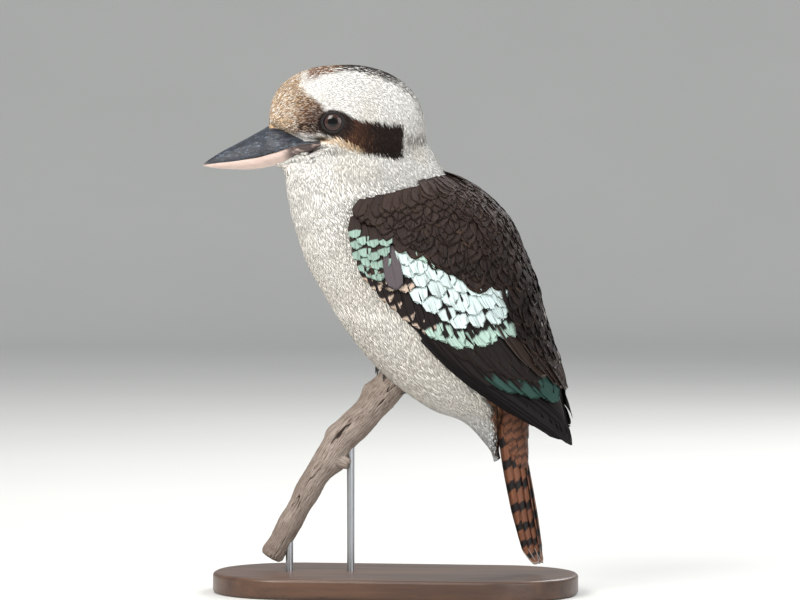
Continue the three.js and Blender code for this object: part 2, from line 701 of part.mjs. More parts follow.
// Trunk and head as one body, with sockets for bill and eyes and room for what it stands on
const hands = { left: -1, right: 1 };
const perch = perchSolid();
const perchClear = perchSolid(GAP);
const billClear = billSolid(true, SOCKET_GAP).add(billSolid(false, SOCKET_GAP));
let body = headSolid().add(trunkSolid());
for (const hand of Object.values(hands)) {
  body = body.add(lidSolid(hand)).subtract(eyeSolid(hand, GAP));
  body = body.subtract(legSolid(hand, GAP));
}
body = body.subtract(billClear).subtract(perchClear).subtract(footRoom());
const bodyClear = trunkSolid(GAP).add(headSolid(GAP));

const bird = new THREE.Group();
bird.add(mesh("head", side(body, THROAT_CUT, true), TINT.white));
bird.add(mesh("neck", side(side(body, THROAT_CUT, false), SHOULDER_CUT, true), TINT.breast));
bird.add(mesh("torso", side(body, SHOULDER_CUT, false), TINT.belly));
const nostrils = nostrilSolid(-1).add(nostrilSolid(1));
bird.add(mesh("bill_upper", billSolid(true).subtract(nostrils), TINT.slate, 0.45));
bird.add(mesh("bill_lower", billSolid(false), TINT.horn, 0.5));
const tail = tailSolid().subtract(bodyClear);
for (const [name, hand] of Object.entries(hands)) {
  const foot = footSolid(hand).subtract(perchClear);
  const leg = legSolid(hand).subtract(footSolid(hand, GAP));
  bird.add(mesh(`eye_${name}`, eyeSolid(hand), TINT.eye, 0.1));
  bird.add(mesh(`wing_${name}`, wingSolid(hand).subtract(bodyClear), TINT.wing));
  bird.add(mesh(`leg_${name}`, leg, TINT.scales));
  bird.add(mesh(`foot_${name}`, foot, TINT.scales));
}
bird.add(mesh("tail", tail, TINT.rufous));

const stand = new THREE.Group();
let base = baseSolid();
ROD.at.forEach((place, i) => {
  stand.add(mesh(`stand_rod_${i + 1}`, rodSolid(place).subtract(perchClear), TINT.steel, 0.3, 1));
  base = base.subtract(rodSolid(place, GAP));
});
stand.add(mesh("stand_base", base, TINT.board, 0.5));
stand.add(mesh("perch", perch, TINT.bark, 0.9));

const kookaburra = new THREE.Group();
kookaburra.add(bird, stand);
export default kookaburra;
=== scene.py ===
"""A laughing kookaburra at life size, perched on a cut branch over an oval stand.

The bird faces -X and its plane of symmetry is y = 0. Tables are in millimetres, as in the solids, and every
mesh is made in metres. A side of the bird is told by its hand: -1 for its left, which the camera sees, and 1
for its right.
"""

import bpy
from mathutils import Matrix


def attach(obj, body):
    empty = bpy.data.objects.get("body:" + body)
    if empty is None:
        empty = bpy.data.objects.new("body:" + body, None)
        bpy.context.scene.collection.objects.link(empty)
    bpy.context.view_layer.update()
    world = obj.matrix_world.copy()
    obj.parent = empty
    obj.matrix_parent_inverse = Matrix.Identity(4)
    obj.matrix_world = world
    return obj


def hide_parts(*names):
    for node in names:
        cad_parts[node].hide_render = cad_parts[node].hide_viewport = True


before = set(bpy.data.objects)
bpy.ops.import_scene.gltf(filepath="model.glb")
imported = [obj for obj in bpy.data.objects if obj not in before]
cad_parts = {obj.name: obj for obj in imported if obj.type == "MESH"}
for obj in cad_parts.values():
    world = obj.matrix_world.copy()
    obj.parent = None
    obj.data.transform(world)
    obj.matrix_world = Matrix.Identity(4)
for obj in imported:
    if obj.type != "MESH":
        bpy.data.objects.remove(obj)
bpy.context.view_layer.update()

import logging
import math
from collections.abc import Callable, Sequence
from dataclasses import dataclass, field, replace
from enum import Enum

import bpy
import numpy as np
from mathutils import Vector

log = logging.getLogger("kookaburra")
Array = np.ndarray
Material = bpy.types.Material
MM = 0.001
NEAR, FAR = -1, 1
SIDES = {NEAR: "left", FAR: "right"}
TURN = math.radians(8)


class Track:
    """Rows of numbers read off at any place between them.

    Between rows k and k + 1 a value is the Catmull-Rom cubic through the four rows round it. Past either
    end it goes straight on.
    """

    def __init__(self, rows: Sequence[Sequence[float]]) -> None:
        """Keeps the rows, with one more in line at each end."""
        self.rows = np.array(rows, float)
        before = 2 * self.rows[0] - self.rows[1]
        after = 2 * self.rows[-1] - self.rows[-2]
        self.padded = np.vstack([before, self.rows, after])
        self.last = len(self.rows) - 1

    def at(self, t: Array) -> Array:
        """Reads the rows.

        Args:
            t: Places, counted in rows.

        Returns:
            One row of values for each place, along a new last axis.
        """
        t = np.asarray(t, float)
        i = np.clip(np.floor(t).astype(int), 0, self.last - 1)
        f = (t - i)[..., None]
        before, a, b, after = (self.padded[i + k] for k in range(4))
        slope_a, slope_b, rise = (b - before) / 2, (after - a) / 2, b - a
        square, cube = 3 * rise - 2 * slope_a - slope_b, slope_a + slope_b - 2 * rise
        curve = a + f * (slope_a + f * (square + f * cube))
        return np.where((f < 0) | (f > 1), a + f * rise, curve)

    def along(self, share: Array) -> Array:
        """Reads the rows at shares of their whole run, from 0 to 1."""
        return self.at(np.asarray(share, float) * self.last)


HEAD = Track([
    [-86.4, 323, 304, 6], [-85, 334, 296, 12], [-82, 342, 291, 16], [-76, 349.5, 288, 18.4],
    [-67, 355, 285, 22], [-56, 359, 282, 26.2], [-42, 360.5, 280, 30.4], [-26, 360.5, 279, 32.6],
    [-10, 357, 280, 33.2], [3, 350.5, 285, 31], [13, 341, 291, 26], [18, 330, 299, 18.5],
    [20.5, 319, 308, 8],
])
TRUNK = Track([
    [2, 331, -65, 301, 16], [20, 311, -75, 285, 31], [36, 287, -73, 262, 37.5], [59, 271, -68, 242, 45],
    [75, 253, -61, 223, 50], [83, 232, -50, 204, 53], [87, 209, -36, 182, 54], [87, 182, -21, 163, 51],
    [85, 159, -2, 144, 44], [82, 139, 24, 126, 33], [77, 121, 46, 118, 21], [73, 107, 61, 103, 12],
    [71, 97, 67, 94, 4],
])
ROOF = Track([
    [36, 289, -76, 260, 41.5], [60, 273, -71, 240.4, 50], [77, 255, -64, 221.4, 55.2],
    [87, 233, -53, 202.4, 58.2], [95, 212, -39, 180.4, 59], [100, 192, -23, 157.4, 56.5],
    [106, 172, 1, 134.6, 51], [113, 153, 30, 116, 43], [118, 136, 56, 105, 34], [123, 120, 82, 97, 26],
    [126, 104, 109, 92, 19],
])
# Sections of the skin, fanned from the face over the throat and down the trunk: back (x, z), belly (x, z)
FAN = Track([
    [-86.2, 316, -86.2, 311], [-85, 332, -85.2, 298], [-82, 341, -82.5, 292], [-74, 350, -78.5, 289.5],
    [-60, 357, -76, 287], [-42, 360, -75, 284.5], [-22, 360, -74.6, 281.5], [-4, 355, -74.8, 278],
    [10, 344, -74.8, 273.5], [19, 328, -74.4, 268.5], [24, 309, -73.6, 262.5], [37, 288, -71.5, 253],
    [56, 273, -68, 241], [75, 253, -61, 223], [83, 232, -50, 204], [87, 209, -36, 182],
    [87, 182, -21, 163], [85, 159, -2, 144], [82, 139, 24, 126], [77, 121, 46, 118], [73, 107, 61, 103],
    [71.2, 98, 66.5, 94.6],
])

# Bill: station x, culmen, mouth line and keel heights and half width
BILL = Track([
    [-133, 292.6, 291.9, 291.3, 0.8], [-128, 296, 292.6, 290.5, 2.4], [-120.8, 300.3, 293.5, 289.6, 4.6],
    [-112, 304.8, 294.4, 289.2, 7], [-101.6, 310.2, 295.9, 289, 9.6], [-92.4, 315.2, 297.4, 289.9, 12.2],
    [-85.8, 318.6, 299.2, 291.2, 14.4], [-77.2, 318, 301.5, 292.6, 16.8],
    [-69.3, 314.4, 304.2, 295.2, 19.8], [-59, 311.2, 306.1, 298.4, 23.4],
    [-47.5, 309.2, 307.4, 303.4, 27.2],
])
UPPER_POWER, LOWER_POWER = 1.12, 0.85

# How square the sections are: 1 is an oval, and less is fuller
HEAD_ACROSS, HEAD_TALL, TRUNK_ACROSS = 0.86, 0.94, 0.92

# The two steps that spread points evenly over a square, and how large a tuft's patch of the OFBake map is
EVEN_STEPS = (0.7548776662466927, 0.5698402909980532)
TUFT_PATCH = (0.0028, 0.0012)


def srgb(red: float, green: float, blue: float) -> Array:
    """A colour given as it looks on a screen, 0 to 255, as linear light."""
    shown = np.array([red, green, blue], float) / 255
    return np.where(shown < 0.04045, shown / 12.92, ((shown + 0.055) / 1.055) ** 2.4)


def smooth(low: float, high: float, value: Array) -> Array:
    """Rises from 0 at low to 1 at high along a smooth S, and falls where low is the greater."""
    t = np.clip((value - low) / (high - low), 0, 1)
    return t * t * (3 - 2 * t)


def band(value: Array, start: float, full: float, leave: float, end: float) -> Array:
    """Rises from 0 at start to 1 at full, and falls from 1 at leave to 0 at end."""
    return smooth(start, full, value) * smooth(end, leave, value)


def blend(under: Array, over: Array, share: Array) -> Array:
    """Mixes colours, or sets of them, by a share for each place."""
    return under + (over - under) * np.asarray(share)[..., None]


def between(ends: Sequence[Array | float], share: Array) -> Array:
    """Straight from the first of two ends to the second."""
    return ends[0] + (ends[1] - ends[0]) * share


def stacked(*parts: Array | float) -> Array:
    """Values side by side along a new last axis, all spread to one shape."""
    return np.stack(np.broadcast_arrays(*parts), -1)


def turns(count: int) -> Array:
    """Angles evenly round a full turn."""
    return np.arange(count) / count * 2 * np.pi


def unit(vectors: Array) -> Array:
    """Vectors brought to length one."""
    return vectors / np.maximum(np.linalg.norm(vectors, axis=-1, keepdims=True), 1e-12)


@dataclass(frozen=True)
class Grain:
    """Smooth noise from -1 to 1 in space, read between the corners of a seeded lattice of numbers."""

    seed: int = 1
    size: int = 32

    def at(self, points: Array, scale: float) -> Array:
        """Reads the noise.

        Args:
            points: Places in millimetres.
            scale: Width of one lattice cell in millimetres.

        Returns:
            One value for each place.
        """
        lattice = np.random.default_rng(self.seed).uniform(-1, 1, (self.size,) * 3)
        at = np.asarray(points, float) / scale
        low = np.floor(at).astype(int)
        f = at - low
        f = f * f * (3 - 2 * f)
        total = np.zeros(at.shape[:-1])
        for corner in np.ndindex(2, 2, 2):
            i, j, k = ((low[..., n] + corner[n]) % self.size for n in range(3))
            weight = np.ones(at.shape[:-1])
            for n in range(3):
                weight = weight * (f[..., n] if corner[n] else 1 - f[..., n])
            total += lattice[i, j, k] * weight
        return total

    def rough(self, points: Array, scale: float, octaves: int = 3) -> Array:
        """Noise with finer noise on it, each octave half as wide and half as strong as the one before."""
        parts = [self.at(points + 17.3 * n, scale / 2**n) / 2**n for n in range(octaves)]
        return sum(parts) / (2 - 2 ** (1 - octaves))


GRAIN = Grain()


@dataclass
class Body:
    """Points, triangles and values for each point, gathered for one piece."""

    points: list[Array] = field(default_factory=list)
    faces: list[Array] = field(default_factory=list)
    values: dict[str, list[Array]] = field(default_factory=dict)
    total: int = 0

    def add(self, points: Array, faces: Array, **values: Array) -> "Body":
        """Adds a part.

        Args:
            points: Its points in millimetres, one row each.
            faces: Its triangles, as places in points.
            values: Named values, one row or number for each point.

        Returns:
            This body, to go on with.
        """
        self.points.append(points.reshape(-1, 3) * MM)
        self.faces.append(faces.reshape(-1, 3) + self.total)
        self.total += len(self.points[-1])
        for name, value in values.items():
            self.values.setdefault(name, []).append(value.reshape(len(self.points[-1]), -1))
        return self

    def make(self, name: str, finish: Material) -> "bpy.types.Object":
        """Makes the object, with an attribute for each colour or number and a UV map for each pair.

        Args:
            name: The piece's name.
            finish: Its material.

        Returns:
            The object, at the origin.
        """
        points = np.concatenate(self.points)
        faces = np.concatenate(self.faces)
        mesh = bpy.data.meshes.new(name)
        mesh.vertices.add(len(points))
        mesh.vertices.foreach_set("co", points.astype(np.float32).ravel())
        mesh.loops.add(faces.size)
        mesh.loops.foreach_set("vertex_index", faces.astype(np.int32).ravel())
        mesh.polygons.add(len(faces))
        mesh.polygons.foreach_set("loop_start", np.arange(0, faces.size, 3, dtype=np.int32))
        mesh.update(calc_edges=True)
        for title, parts in self.values.items():
            rows = np.concatenate(parts).astype(np.float32)
            if rows.shape[1] == 2:
                layer = mesh.uv_layers.new(name=title)
                layer.data.foreach_set("uv", rows[faces.ravel()].ravel())
            elif rows.shape[1] == 3:
                layer = mesh.color_attributes.new(name=title, type="FLOAT_COLOR", domain="POINT")
                full = np.hstack([rows, np.ones((len(rows), 1), np.float32)])
                layer.data.foreach_set("color", full.ravel())
            else:
                layer = mesh.attributes.new(name=title, type="FLOAT", domain="POINT")
                layer.data.foreach_set("value", rows.ravel())
        mesh.polygons.foreach_set("use_smooth", np.full(len(faces), True))
        mesh.materials.append(finish)
        made = bpy.data.objects.new(name, mesh)
        bpy.context.scene.collection.objects.link(made)
        log.info("%s: %d triangles", name, len(faces))
        return made

    def wear(self, name: str, finish: Material, slot: str, *nodes: str) -> None:
        """Makes the piece and puts it on the bird.

        Args:
            name: The piece's name.
            finish: Its material.
            slot: Not used.
            nodes: The CAD nodes it stands for.
        """
        piece = self.make(name, finish)
        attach(piece, "root")
        if nodes:
            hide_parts(*nodes)


def wall_faces(rings: int, sides: int, is_ring: bool = False) -> Array:
    """Triangles between rings of points, each closed on itself.

    Args:
        rings: Number of rings.
        sides: Points in a ring. Point (i, j) is number i * sides + j.
        is_ring: Whether the last ring meets the first one.

    Returns:
        Triangles, one row each.
    """
    starts = np.arange(rings if is_ring else rings - 1)
    i, j = (n.ravel() for n in np.meshgrid(starts, np.arange(sides), indexing="ij"))
    here, after = i * sides, (i + 1) % rings * sides
    k = (j + 1) % sides
    return np.stack([here + j, here + k, after + k, here + j, after + k, after + j], 1).reshape(-1, 3)


def tube_faces(rings: int, sides: int) -> Array:
    """Triangles of a tube with a fan at each end, round one more point each: first the first ring's."""
    ring = np.arange(sides)
    after = (ring + 1) % sides
    end = (rings - 1) * sides
    first = np.stack([after, ring, np.full(sides, rings * sides)], 1)
    last = np.stack([end + ring, end + after, np.full(sides, rings * sides + 1)], 1)
    return np.concatenate([wall_faces(rings, sides), first, last])


def strand_faces(rings: int) -> Array:
    """Triangles of a strand: rings of three points, closed at the root, that run out to one more point."""
    end = (rings - 1) * 3
    point = [[end + n, end + (n + 1) % 3, rings * 3] for n in range(3)]
    return np.concatenate([wall_faces(rings, 3), point, [[0, 2, 1]]])


def facing_out(points: Array, faces: Array) -> Array:
    """Triangles of many like closed bodies, each body's turned the way that gives it a positive volume.

    Args:
        points: Points as (bodies, points, 3).
        faces: Triangles of one body.

    Returns:
        Triangles over the points of all bodies.
    """
    a, b, c = (points[:, faces[:, n]] - points[:, -1:] for n in range(3))
    volume = np.einsum("bij,bij->b", a, np.cross(b, c))
    turned = np.where((volume > 0)[:, None, None], faces, faces[:, ::-1])
    shift = np.arange(len(points))[:, None, None] * points.shape[1]
    return (turned + shift).reshape(-1, 3)


def many_tubes(rings: Array) -> tuple[Array, Array]:
    """Many closed bodies at once, each through its own rings, with its ends closed to the end rings' middles.

    Args:
        rings: Points as (bodies, rings, sides, 3).

    Returns:
        Points as (bodies, rings * sides + 2, 3), and triangles over all of them.
    """
    points = with_ends(rings)
    return points, facing_out(points, tube_faces(*rings.shape[1:3]))


def closed_tube(rings: Array) -> tuple[Array, Array]:
    """Points and triangles of one closed body through rings of points, given as (rings, sides, 3)."""
    points, faces = many_tubes(rings[None])
    return points[0], faces


def many_strands(rings: Array) -> tuple[Array, Array]:
    """Many closed strands at once.

    Args:
        rings: Points as (strands, rings, 3, 3). The middle point of the last ring is the tip.

    Returns:
        Points, and triangles over all of them.
    """
    points = strand_values(rings)
    return points, facing_out(points, strand_faces(rings.shape[1] - 1))


def with_ends(values: Array) -> Array:
    """Values on (bodies, rings, sides, ...) laid out as many_tubes lays its points, ends included."""
    bodies = values.shape[0]
    tail = values.shape[3:]
    ends = np.stack([values[:, 0].mean(1), values[:, -1].mean(1)], 1)
    return np.concatenate([values.reshape(bodies, -1, *tail), ends], 1)


def strand_values(values: Array) -> Array:
    """Values on (strands, rings, 3, ...), the tip's among them, laid out as many_strands lays its points."""
    strands, tail = values.shape[0], values.shape[3:]
    return np.concatenate([values[:, :-1].reshape(strands, -1, *tail), values[:, -1:, 1]], 1)


@dataclass
class Surface:
    """A grid of points that is read at any place (u, v), each from 0 to 1. v runs round and meets itself."""

    points: Array

    def __post_init__(self) -> None:
        """Works out the normals, and how far a step in u or v goes."""
        along = np.gradient(self.points, axis=0) * (self.points.shape[0] - 1)
        wrapped = np.concatenate([self.points[:, -1:], self.points, self.points[:, :1]], 1)
        round_ = (wrapped[:, 2:] - wrapped[:, :-2]) / 2 * self.points.shape[1]
        cross = np.cross(round_, along)
        self.area = np.linalg.norm(cross, axis=-1)
        middle = self.points.mean(1, keepdims=True)
        out = np.einsum("uvi,uvi->uv", cross, self.points - middle)
        self.normals = unit(cross) * np.sign(out.sum())
        self.reach = np.stack([np.linalg.norm(along, axis=-1), np.linalg.norm(round_, axis=-1)], -1)

    def read(self, grid: Array, u: Array, v: Array) -> Array:
        """Reads a grid of values between its corners, straight across each cell."""
        rows, columns = grid.shape[:2]
        at_u = np.clip(u, 0, 1) * (rows - 1)
        at_v = np.mod(v, 1) * columns
        i = np.clip(np.floor(at_u).astype(int), 0, rows - 2)
        j = np.floor(at_v).astype(int) % columns
        f = (at_u - i)[..., None]
        g = (at_v - np.floor(at_v))[..., None]
        k = (j + 1) % columns
        near, far = (grid[i, n] * (1 - f) + grid[i + 1, n] * f for n in (j, k))
        return near * (1 - g) + far * g

    def place(self, u: Array, v: Array) -> tuple[Array, Array]:
        """Points and unit normals at (u, v)."""
        return self.read(self.points, u, v), unit(self.read(self.normals, u, v))

    def scatter(self, count: int, weight: Array, seed: int) -> tuple[Array, Array]:
        """Spreads places evenly over the surface, as thick as a weight asks.

        The golden sequence of two dimensions gives evenly spaced pairs of numbers. The first picks a row by
        the share of weighted area up to it, and the second a place in that row in the same way.

        Args:
            count: Number of places.
            weight: How thick they stand, for each grid point.
            seed: Shifts the sequence.

        Returns:
            The places' u and v.
        """
        mass = self.area * np.maximum(weight, 0) + 1e-12
        n = np.arange(1, count + 1) + seed * 977
        p, q = (n * step % 1 for step in EVEN_STEPS)
        rows = mass.sum(1)
        steps = np.concatenate([[0], np.cumsum((rows[1:] + rows[:-1]) / 2)])
        at_u = np.interp(p * steps[-1], steps, np.arange(len(rows)))
        near = np.clip(np.round(at_u).astype(int), 0, len(rows) - 1)
        share = np.cumsum(mass, 1) / rows[:, None]
        flat = (share + np.arange(len(rows))[:, None]).ravel()
        found = np.searchsorted(flat, near + q)
        column = np.clip(found - near * mass.shape[1], 0, mass.shape[1] - 1)
        top = share[near, column]
        bottom = np.where(column > 0, share[near, column - 1], 0)
        part = (q - bottom) / np.maximum(top - bottom, 1e-12)
        return at_u / (len(rows) - 1), np.mod((column - 0.5 + part) / mass.shape[1], 1)


def line_place(rows: Track, x: Array, z: Array, low_end: float, high_end: float) -> tuple[Array, Array]:
    """Station on a track and share of the way from back to belly of points of the side view.

    The station is found by halving: it is where the line from back to belly passes through the point.

    Args:
        rows: The track, whose rows start with back (x, z) and belly (x, z).
        x: Places along the bird.
        z: Heights.
        low_end: First station that is looked at.
        high_end: Last station that is looked at.

    Returns:
        Stations and shares.
    """

    def beside(s: Array) -> Array:
        """Which side of the station's line the point lies on."""
        back_x, back_z, belly_x, belly_z = np.moveaxis(rows.at(s)[..., :4], -1, 0)
        return (belly_x - back_x) * (z - back_z) - (belly_z - back_z) * (x - back_x)

    low = np.full(np.shape(x), float(low_end))
    high = np.full(np.shape(x), float(high_end))
    rising = beside(high) > beside(low)
    for _ in range(26):
        middle = (low + high) / 2
        above = (beside(middle) > 0) == rising
        high = np.where(above, middle, high)
        low = np.where(above, low, middle)
    row = rows.at(low)
    run_x, run_z = row[..., 2] - row[..., 0], row[..., 3] - row[..., 1]
    share = ((x - row[..., 0]) * run_x + (z - row[..., 1]) * run_z) / (run_x**2 + run_z**2)
    return low, share


def trunk_place(x: Array, z: Array) -> tuple[Array, Array]:
    """Station on the trunk and share from back to belly of points of the side view."""
    return line_place(TRUNK, x, z, 0, TRUNK.last)


def roof_place(x: Array, z: Array) -> tuple[Array, Array]:
    """Station and angle on the roof of the folded wings of points of the side view."""
    station, share = line_place(ROOF, x, z, -0.8, ROOF.last + 0.8)
    return station, np.arccos(1 - 2 * np.clip(share, 0.004, 0.996))


def roof_point(s: Array, a: Array, lift: Array, hand: int) -> Array:
    """Points of the roof of the folded wings.

    A section is a near oval from the back line, angle 0, to the belly line: across it goes half the width
    times the sine to the power TRUNK_ACROSS, and along it half the depth times the cosine, both with the
    lift added.

    Args:
        s: Stations.
        a: Angles from the back line.
        lift: Heights over the roof.
        hand: Side of the bird.

    Returns:
        Points in millimetres.
    """
    row = ROOF.at(s)
    middle = (row[..., 0:2] + row[..., 2:4]) / 2
    reach = (row[..., 0:2] - row[..., 2:4]) / 2
    long = np.linalg.norm(reach, axis=-1)
    side_view = middle + reach * (np.cos(a) * (long + lift) / long)[..., None]
    y = hand * (np.sign(np.sin(a)) * np.abs(np.sin(a)) ** TRUNK_ACROSS) * (row[..., 4] + lift)
    return stacked(side_view[..., 0], y, side_view[..., 1])


def seen_from_side(points: Array) -> tuple[Array, Array]:
    """Places in the side view of either side, (along, up): each side is seen from a little behind."""
    return points[..., 0] * math.cos(TURN) - np.abs(points[..., 1]) * math.sin(TURN), points[..., 2]


def collar_height(along: Array) -> Array:
    """Height of the white collar's lower edge in the side view, where the brown of the mantle starts."""
    return np.interp(along, [-30, -25, -5.3, 11.2, 23.8, 35.6, 50], [264, 268.5, 275, 278, 284, 288.5, 298])


def bill_share(points: Array, soft: float = 0.3) -> Array:
    """1 where the bare base of the bill shows in the side view, between the lores and the chin, else 0.

    Args:
        points: Places in millimetres.
        soft: How far outside its edges it still counts in part.
    """
    h, z = seen_from_side(points)
    top = np.interp(h, [-90, -85, -73.3, -60.7, -50, -46], [320.5, 319.5, 313, 307, 308.6, 308.4])
    low = np.interp(h, [-90, -79, -73, -62, -54, -48], [288.5, 290.5, 294, 298.5, 303.8, 307])
    return smooth(-soft, 1.0, top - z) * smooth(-soft, 1.0, z - low) * smooth(-47 + soft, -51, h)


def horn_half(x: Array, z: Array, steepest: float = 0.86) -> Array:
    """Half width of the bill at places of the side view, and past its edges what it is near them.

    Args:
        x: Places along the bird.
        z: Heights.
        steepest: Share of the bill's height past which the half width stays the same.
    """
    rows = BILL.at(np.linspace(0, BILL.last, 300))
    culmen, mouth, keel, half = (np.interp(x, rows[:, 0], rows[:, k]) for k in range(1, 5))
    above = np.clip((z - mouth) / (culmen - mouth), 0, 1) ** (1 / UPPER_POWER)
    below = np.clip((mouth - z) / (mouth - keel), 0, 1) ** (1 / LOWER_POWER)
    sine = np.minimum(np.where(z > mouth, above, below), steepest)
    return half * np.sqrt(1 - sine**2)


@dataclass
class Flesh:
    """The head and trunk of the solids as one form, found along rays from a fan of sections."""

    rows: int = 230
    columns: int = 168
    depth: float = 1.5
    face_depth: float = 0.8
    tuck: float = 1.5

    def inside(self, points: Array) -> Array:
        """Whether points lie in the head or the trunk: powers of a section's shares add up to under one."""
        x, y, z = points[..., 0], points[..., 1], points[..., 2]
        steps = np.linspace(0, HEAD.last, 800)
        t = np.interp(x, HEAD.at(steps)[:, 0], steps)
        row = HEAD.at(t)
        middle, tall = (row[..., 1] + row[..., 2]) / 2, (row[..., 1] - row[..., 2]) / 2
        head = np.abs(y / row[..., 3]) ** (2 / HEAD_ACROSS) + np.abs((z - middle) / tall) ** (2 / HEAD_TALL)
        head = np.where((x < HEAD.rows[0, 0]) | (x > HEAD.rows[-1, 0]), 9, head)
        station, share = self.table(x, z)
        half = TRUNK.at(station)[..., 4]
        trunk = np.abs(1 - 2 * share) ** 2 + np.abs(y / half) ** (2 / TRUNK_ACROSS)
        trunk = np.where((station < 0.02) | (station > TRUNK.last - 0.02), 9, trunk)
        return np.minimum(head, trunk) < 1

    def table(self, x: Array, z: Array) -> tuple[Array, Array]:
        """Reads the trunk's stations and shares from a table of one-millimetre squares of the side view."""
        if not hasattr(self, "squares"):
            grid = np.meshgrid(np.arange(-110.0, 130), np.arange(80.0, 350), indexing="ij")
            self.squares = np.stack(trunk_place(*grid), -1)
        at_x, at_z = np.clip(x + 110, 0, 238.99), np.clip(z - 80, 0, 268.99)
        i, j = at_x.astype(int), at_z.astype(int)
        f, g = (at_x - i)[..., None], (at_z - j)[..., None]
        found = self.squares
        read = (found[i, j] * (1 - f) + found[i + 1, j] * f) * (1 - g)
        read = read + (found[i, j + 1] * (1 - f) + found[i + 1, j + 1] * f) * g
        return read[..., 0], read[..., 1]

    def surface(self) -> Surface:
        """The skin: where rays leave the flesh, smoothed at the neck's crease, set in by the coat's depth.

        Beside the bill's base it is drawn in to lie inside the horn.

        A ray starts in the middle of its section and goes at angle a from the back: the section's direction
        times cos a, and the way across times sin a.

        Returns:
            The surface, from the face to the vent.
        """
        share = np.linspace(0, 1, self.rows)
        fan = FAN.along(share)
        middle = stacked((fan[:, 0] + fan[:, 2]) / 2, 0, (fan[:, 1] + fan[:, 3]) / 2)
        up = unit(stacked(fan[:, 0] - fan[:, 2], 0, fan[:, 1] - fan[:, 3]))
        a = turns(self.columns)
        ways = up[:, None] * np.cos(a)[None, :, None] + np.array([0, 1, 0]) * np.sin(a)[None, :, None]
        reach = np.linspace(0.5, 80, 60)
        spots = middle[:, None, None] + ways[:, :, None] * reach[None, None, :, None]
        held = self.inside(spots)
        last = held.shape[2] - 1 - np.argmax(held[:, :, ::-1], axis=2)
        last = np.where(held.any(2), last, 0)
        low = reach[last]
        high = low + reach[1] - reach[0]
        for _ in range(9):
            half = (low + high) / 2
            within = self.inside(middle[:, None] + ways * half[..., None])
            low, high = np.where(within, half, low), np.where(within, high, half)
        for _ in range(3):
            low = (np.roll(low, 1, 1) + 2 * low + np.roll(low, -1, 1)) / 4
            low[1:-1] = (low[:-2] + 2 * low[1:-1] + low[2:]) / 4
        sunk = self.face_depth + (self.depth - self.face_depth) * smooth(0.42, 0.56, share)
        low = low - np.minimum(sunk[:, None], low * 0.35)
        points = middle[:, None] + ways * low[..., None]
        y = points[..., 1]
        outside = np.maximum(np.abs(y) - horn_half(points[..., 0], points[..., 2]) + self.tuck, 0)
        points[..., 1] = y - np.sign(y) * outside * bill_share(points, 4.5)
        return Surface(points)


def drift_of(points: Array) -> Array:
    """A slow wander, in radians, that keeps bars across the feathers from running straight."""
    return 2.5 * GRAIN.rough(points, 9)


def tone(red: float, green: float, blue: float) -> Array:
    """A field that holds a colour, given as it looks on a screen."""
    return field(default_factory=lambda: srgb(red, green, blue))


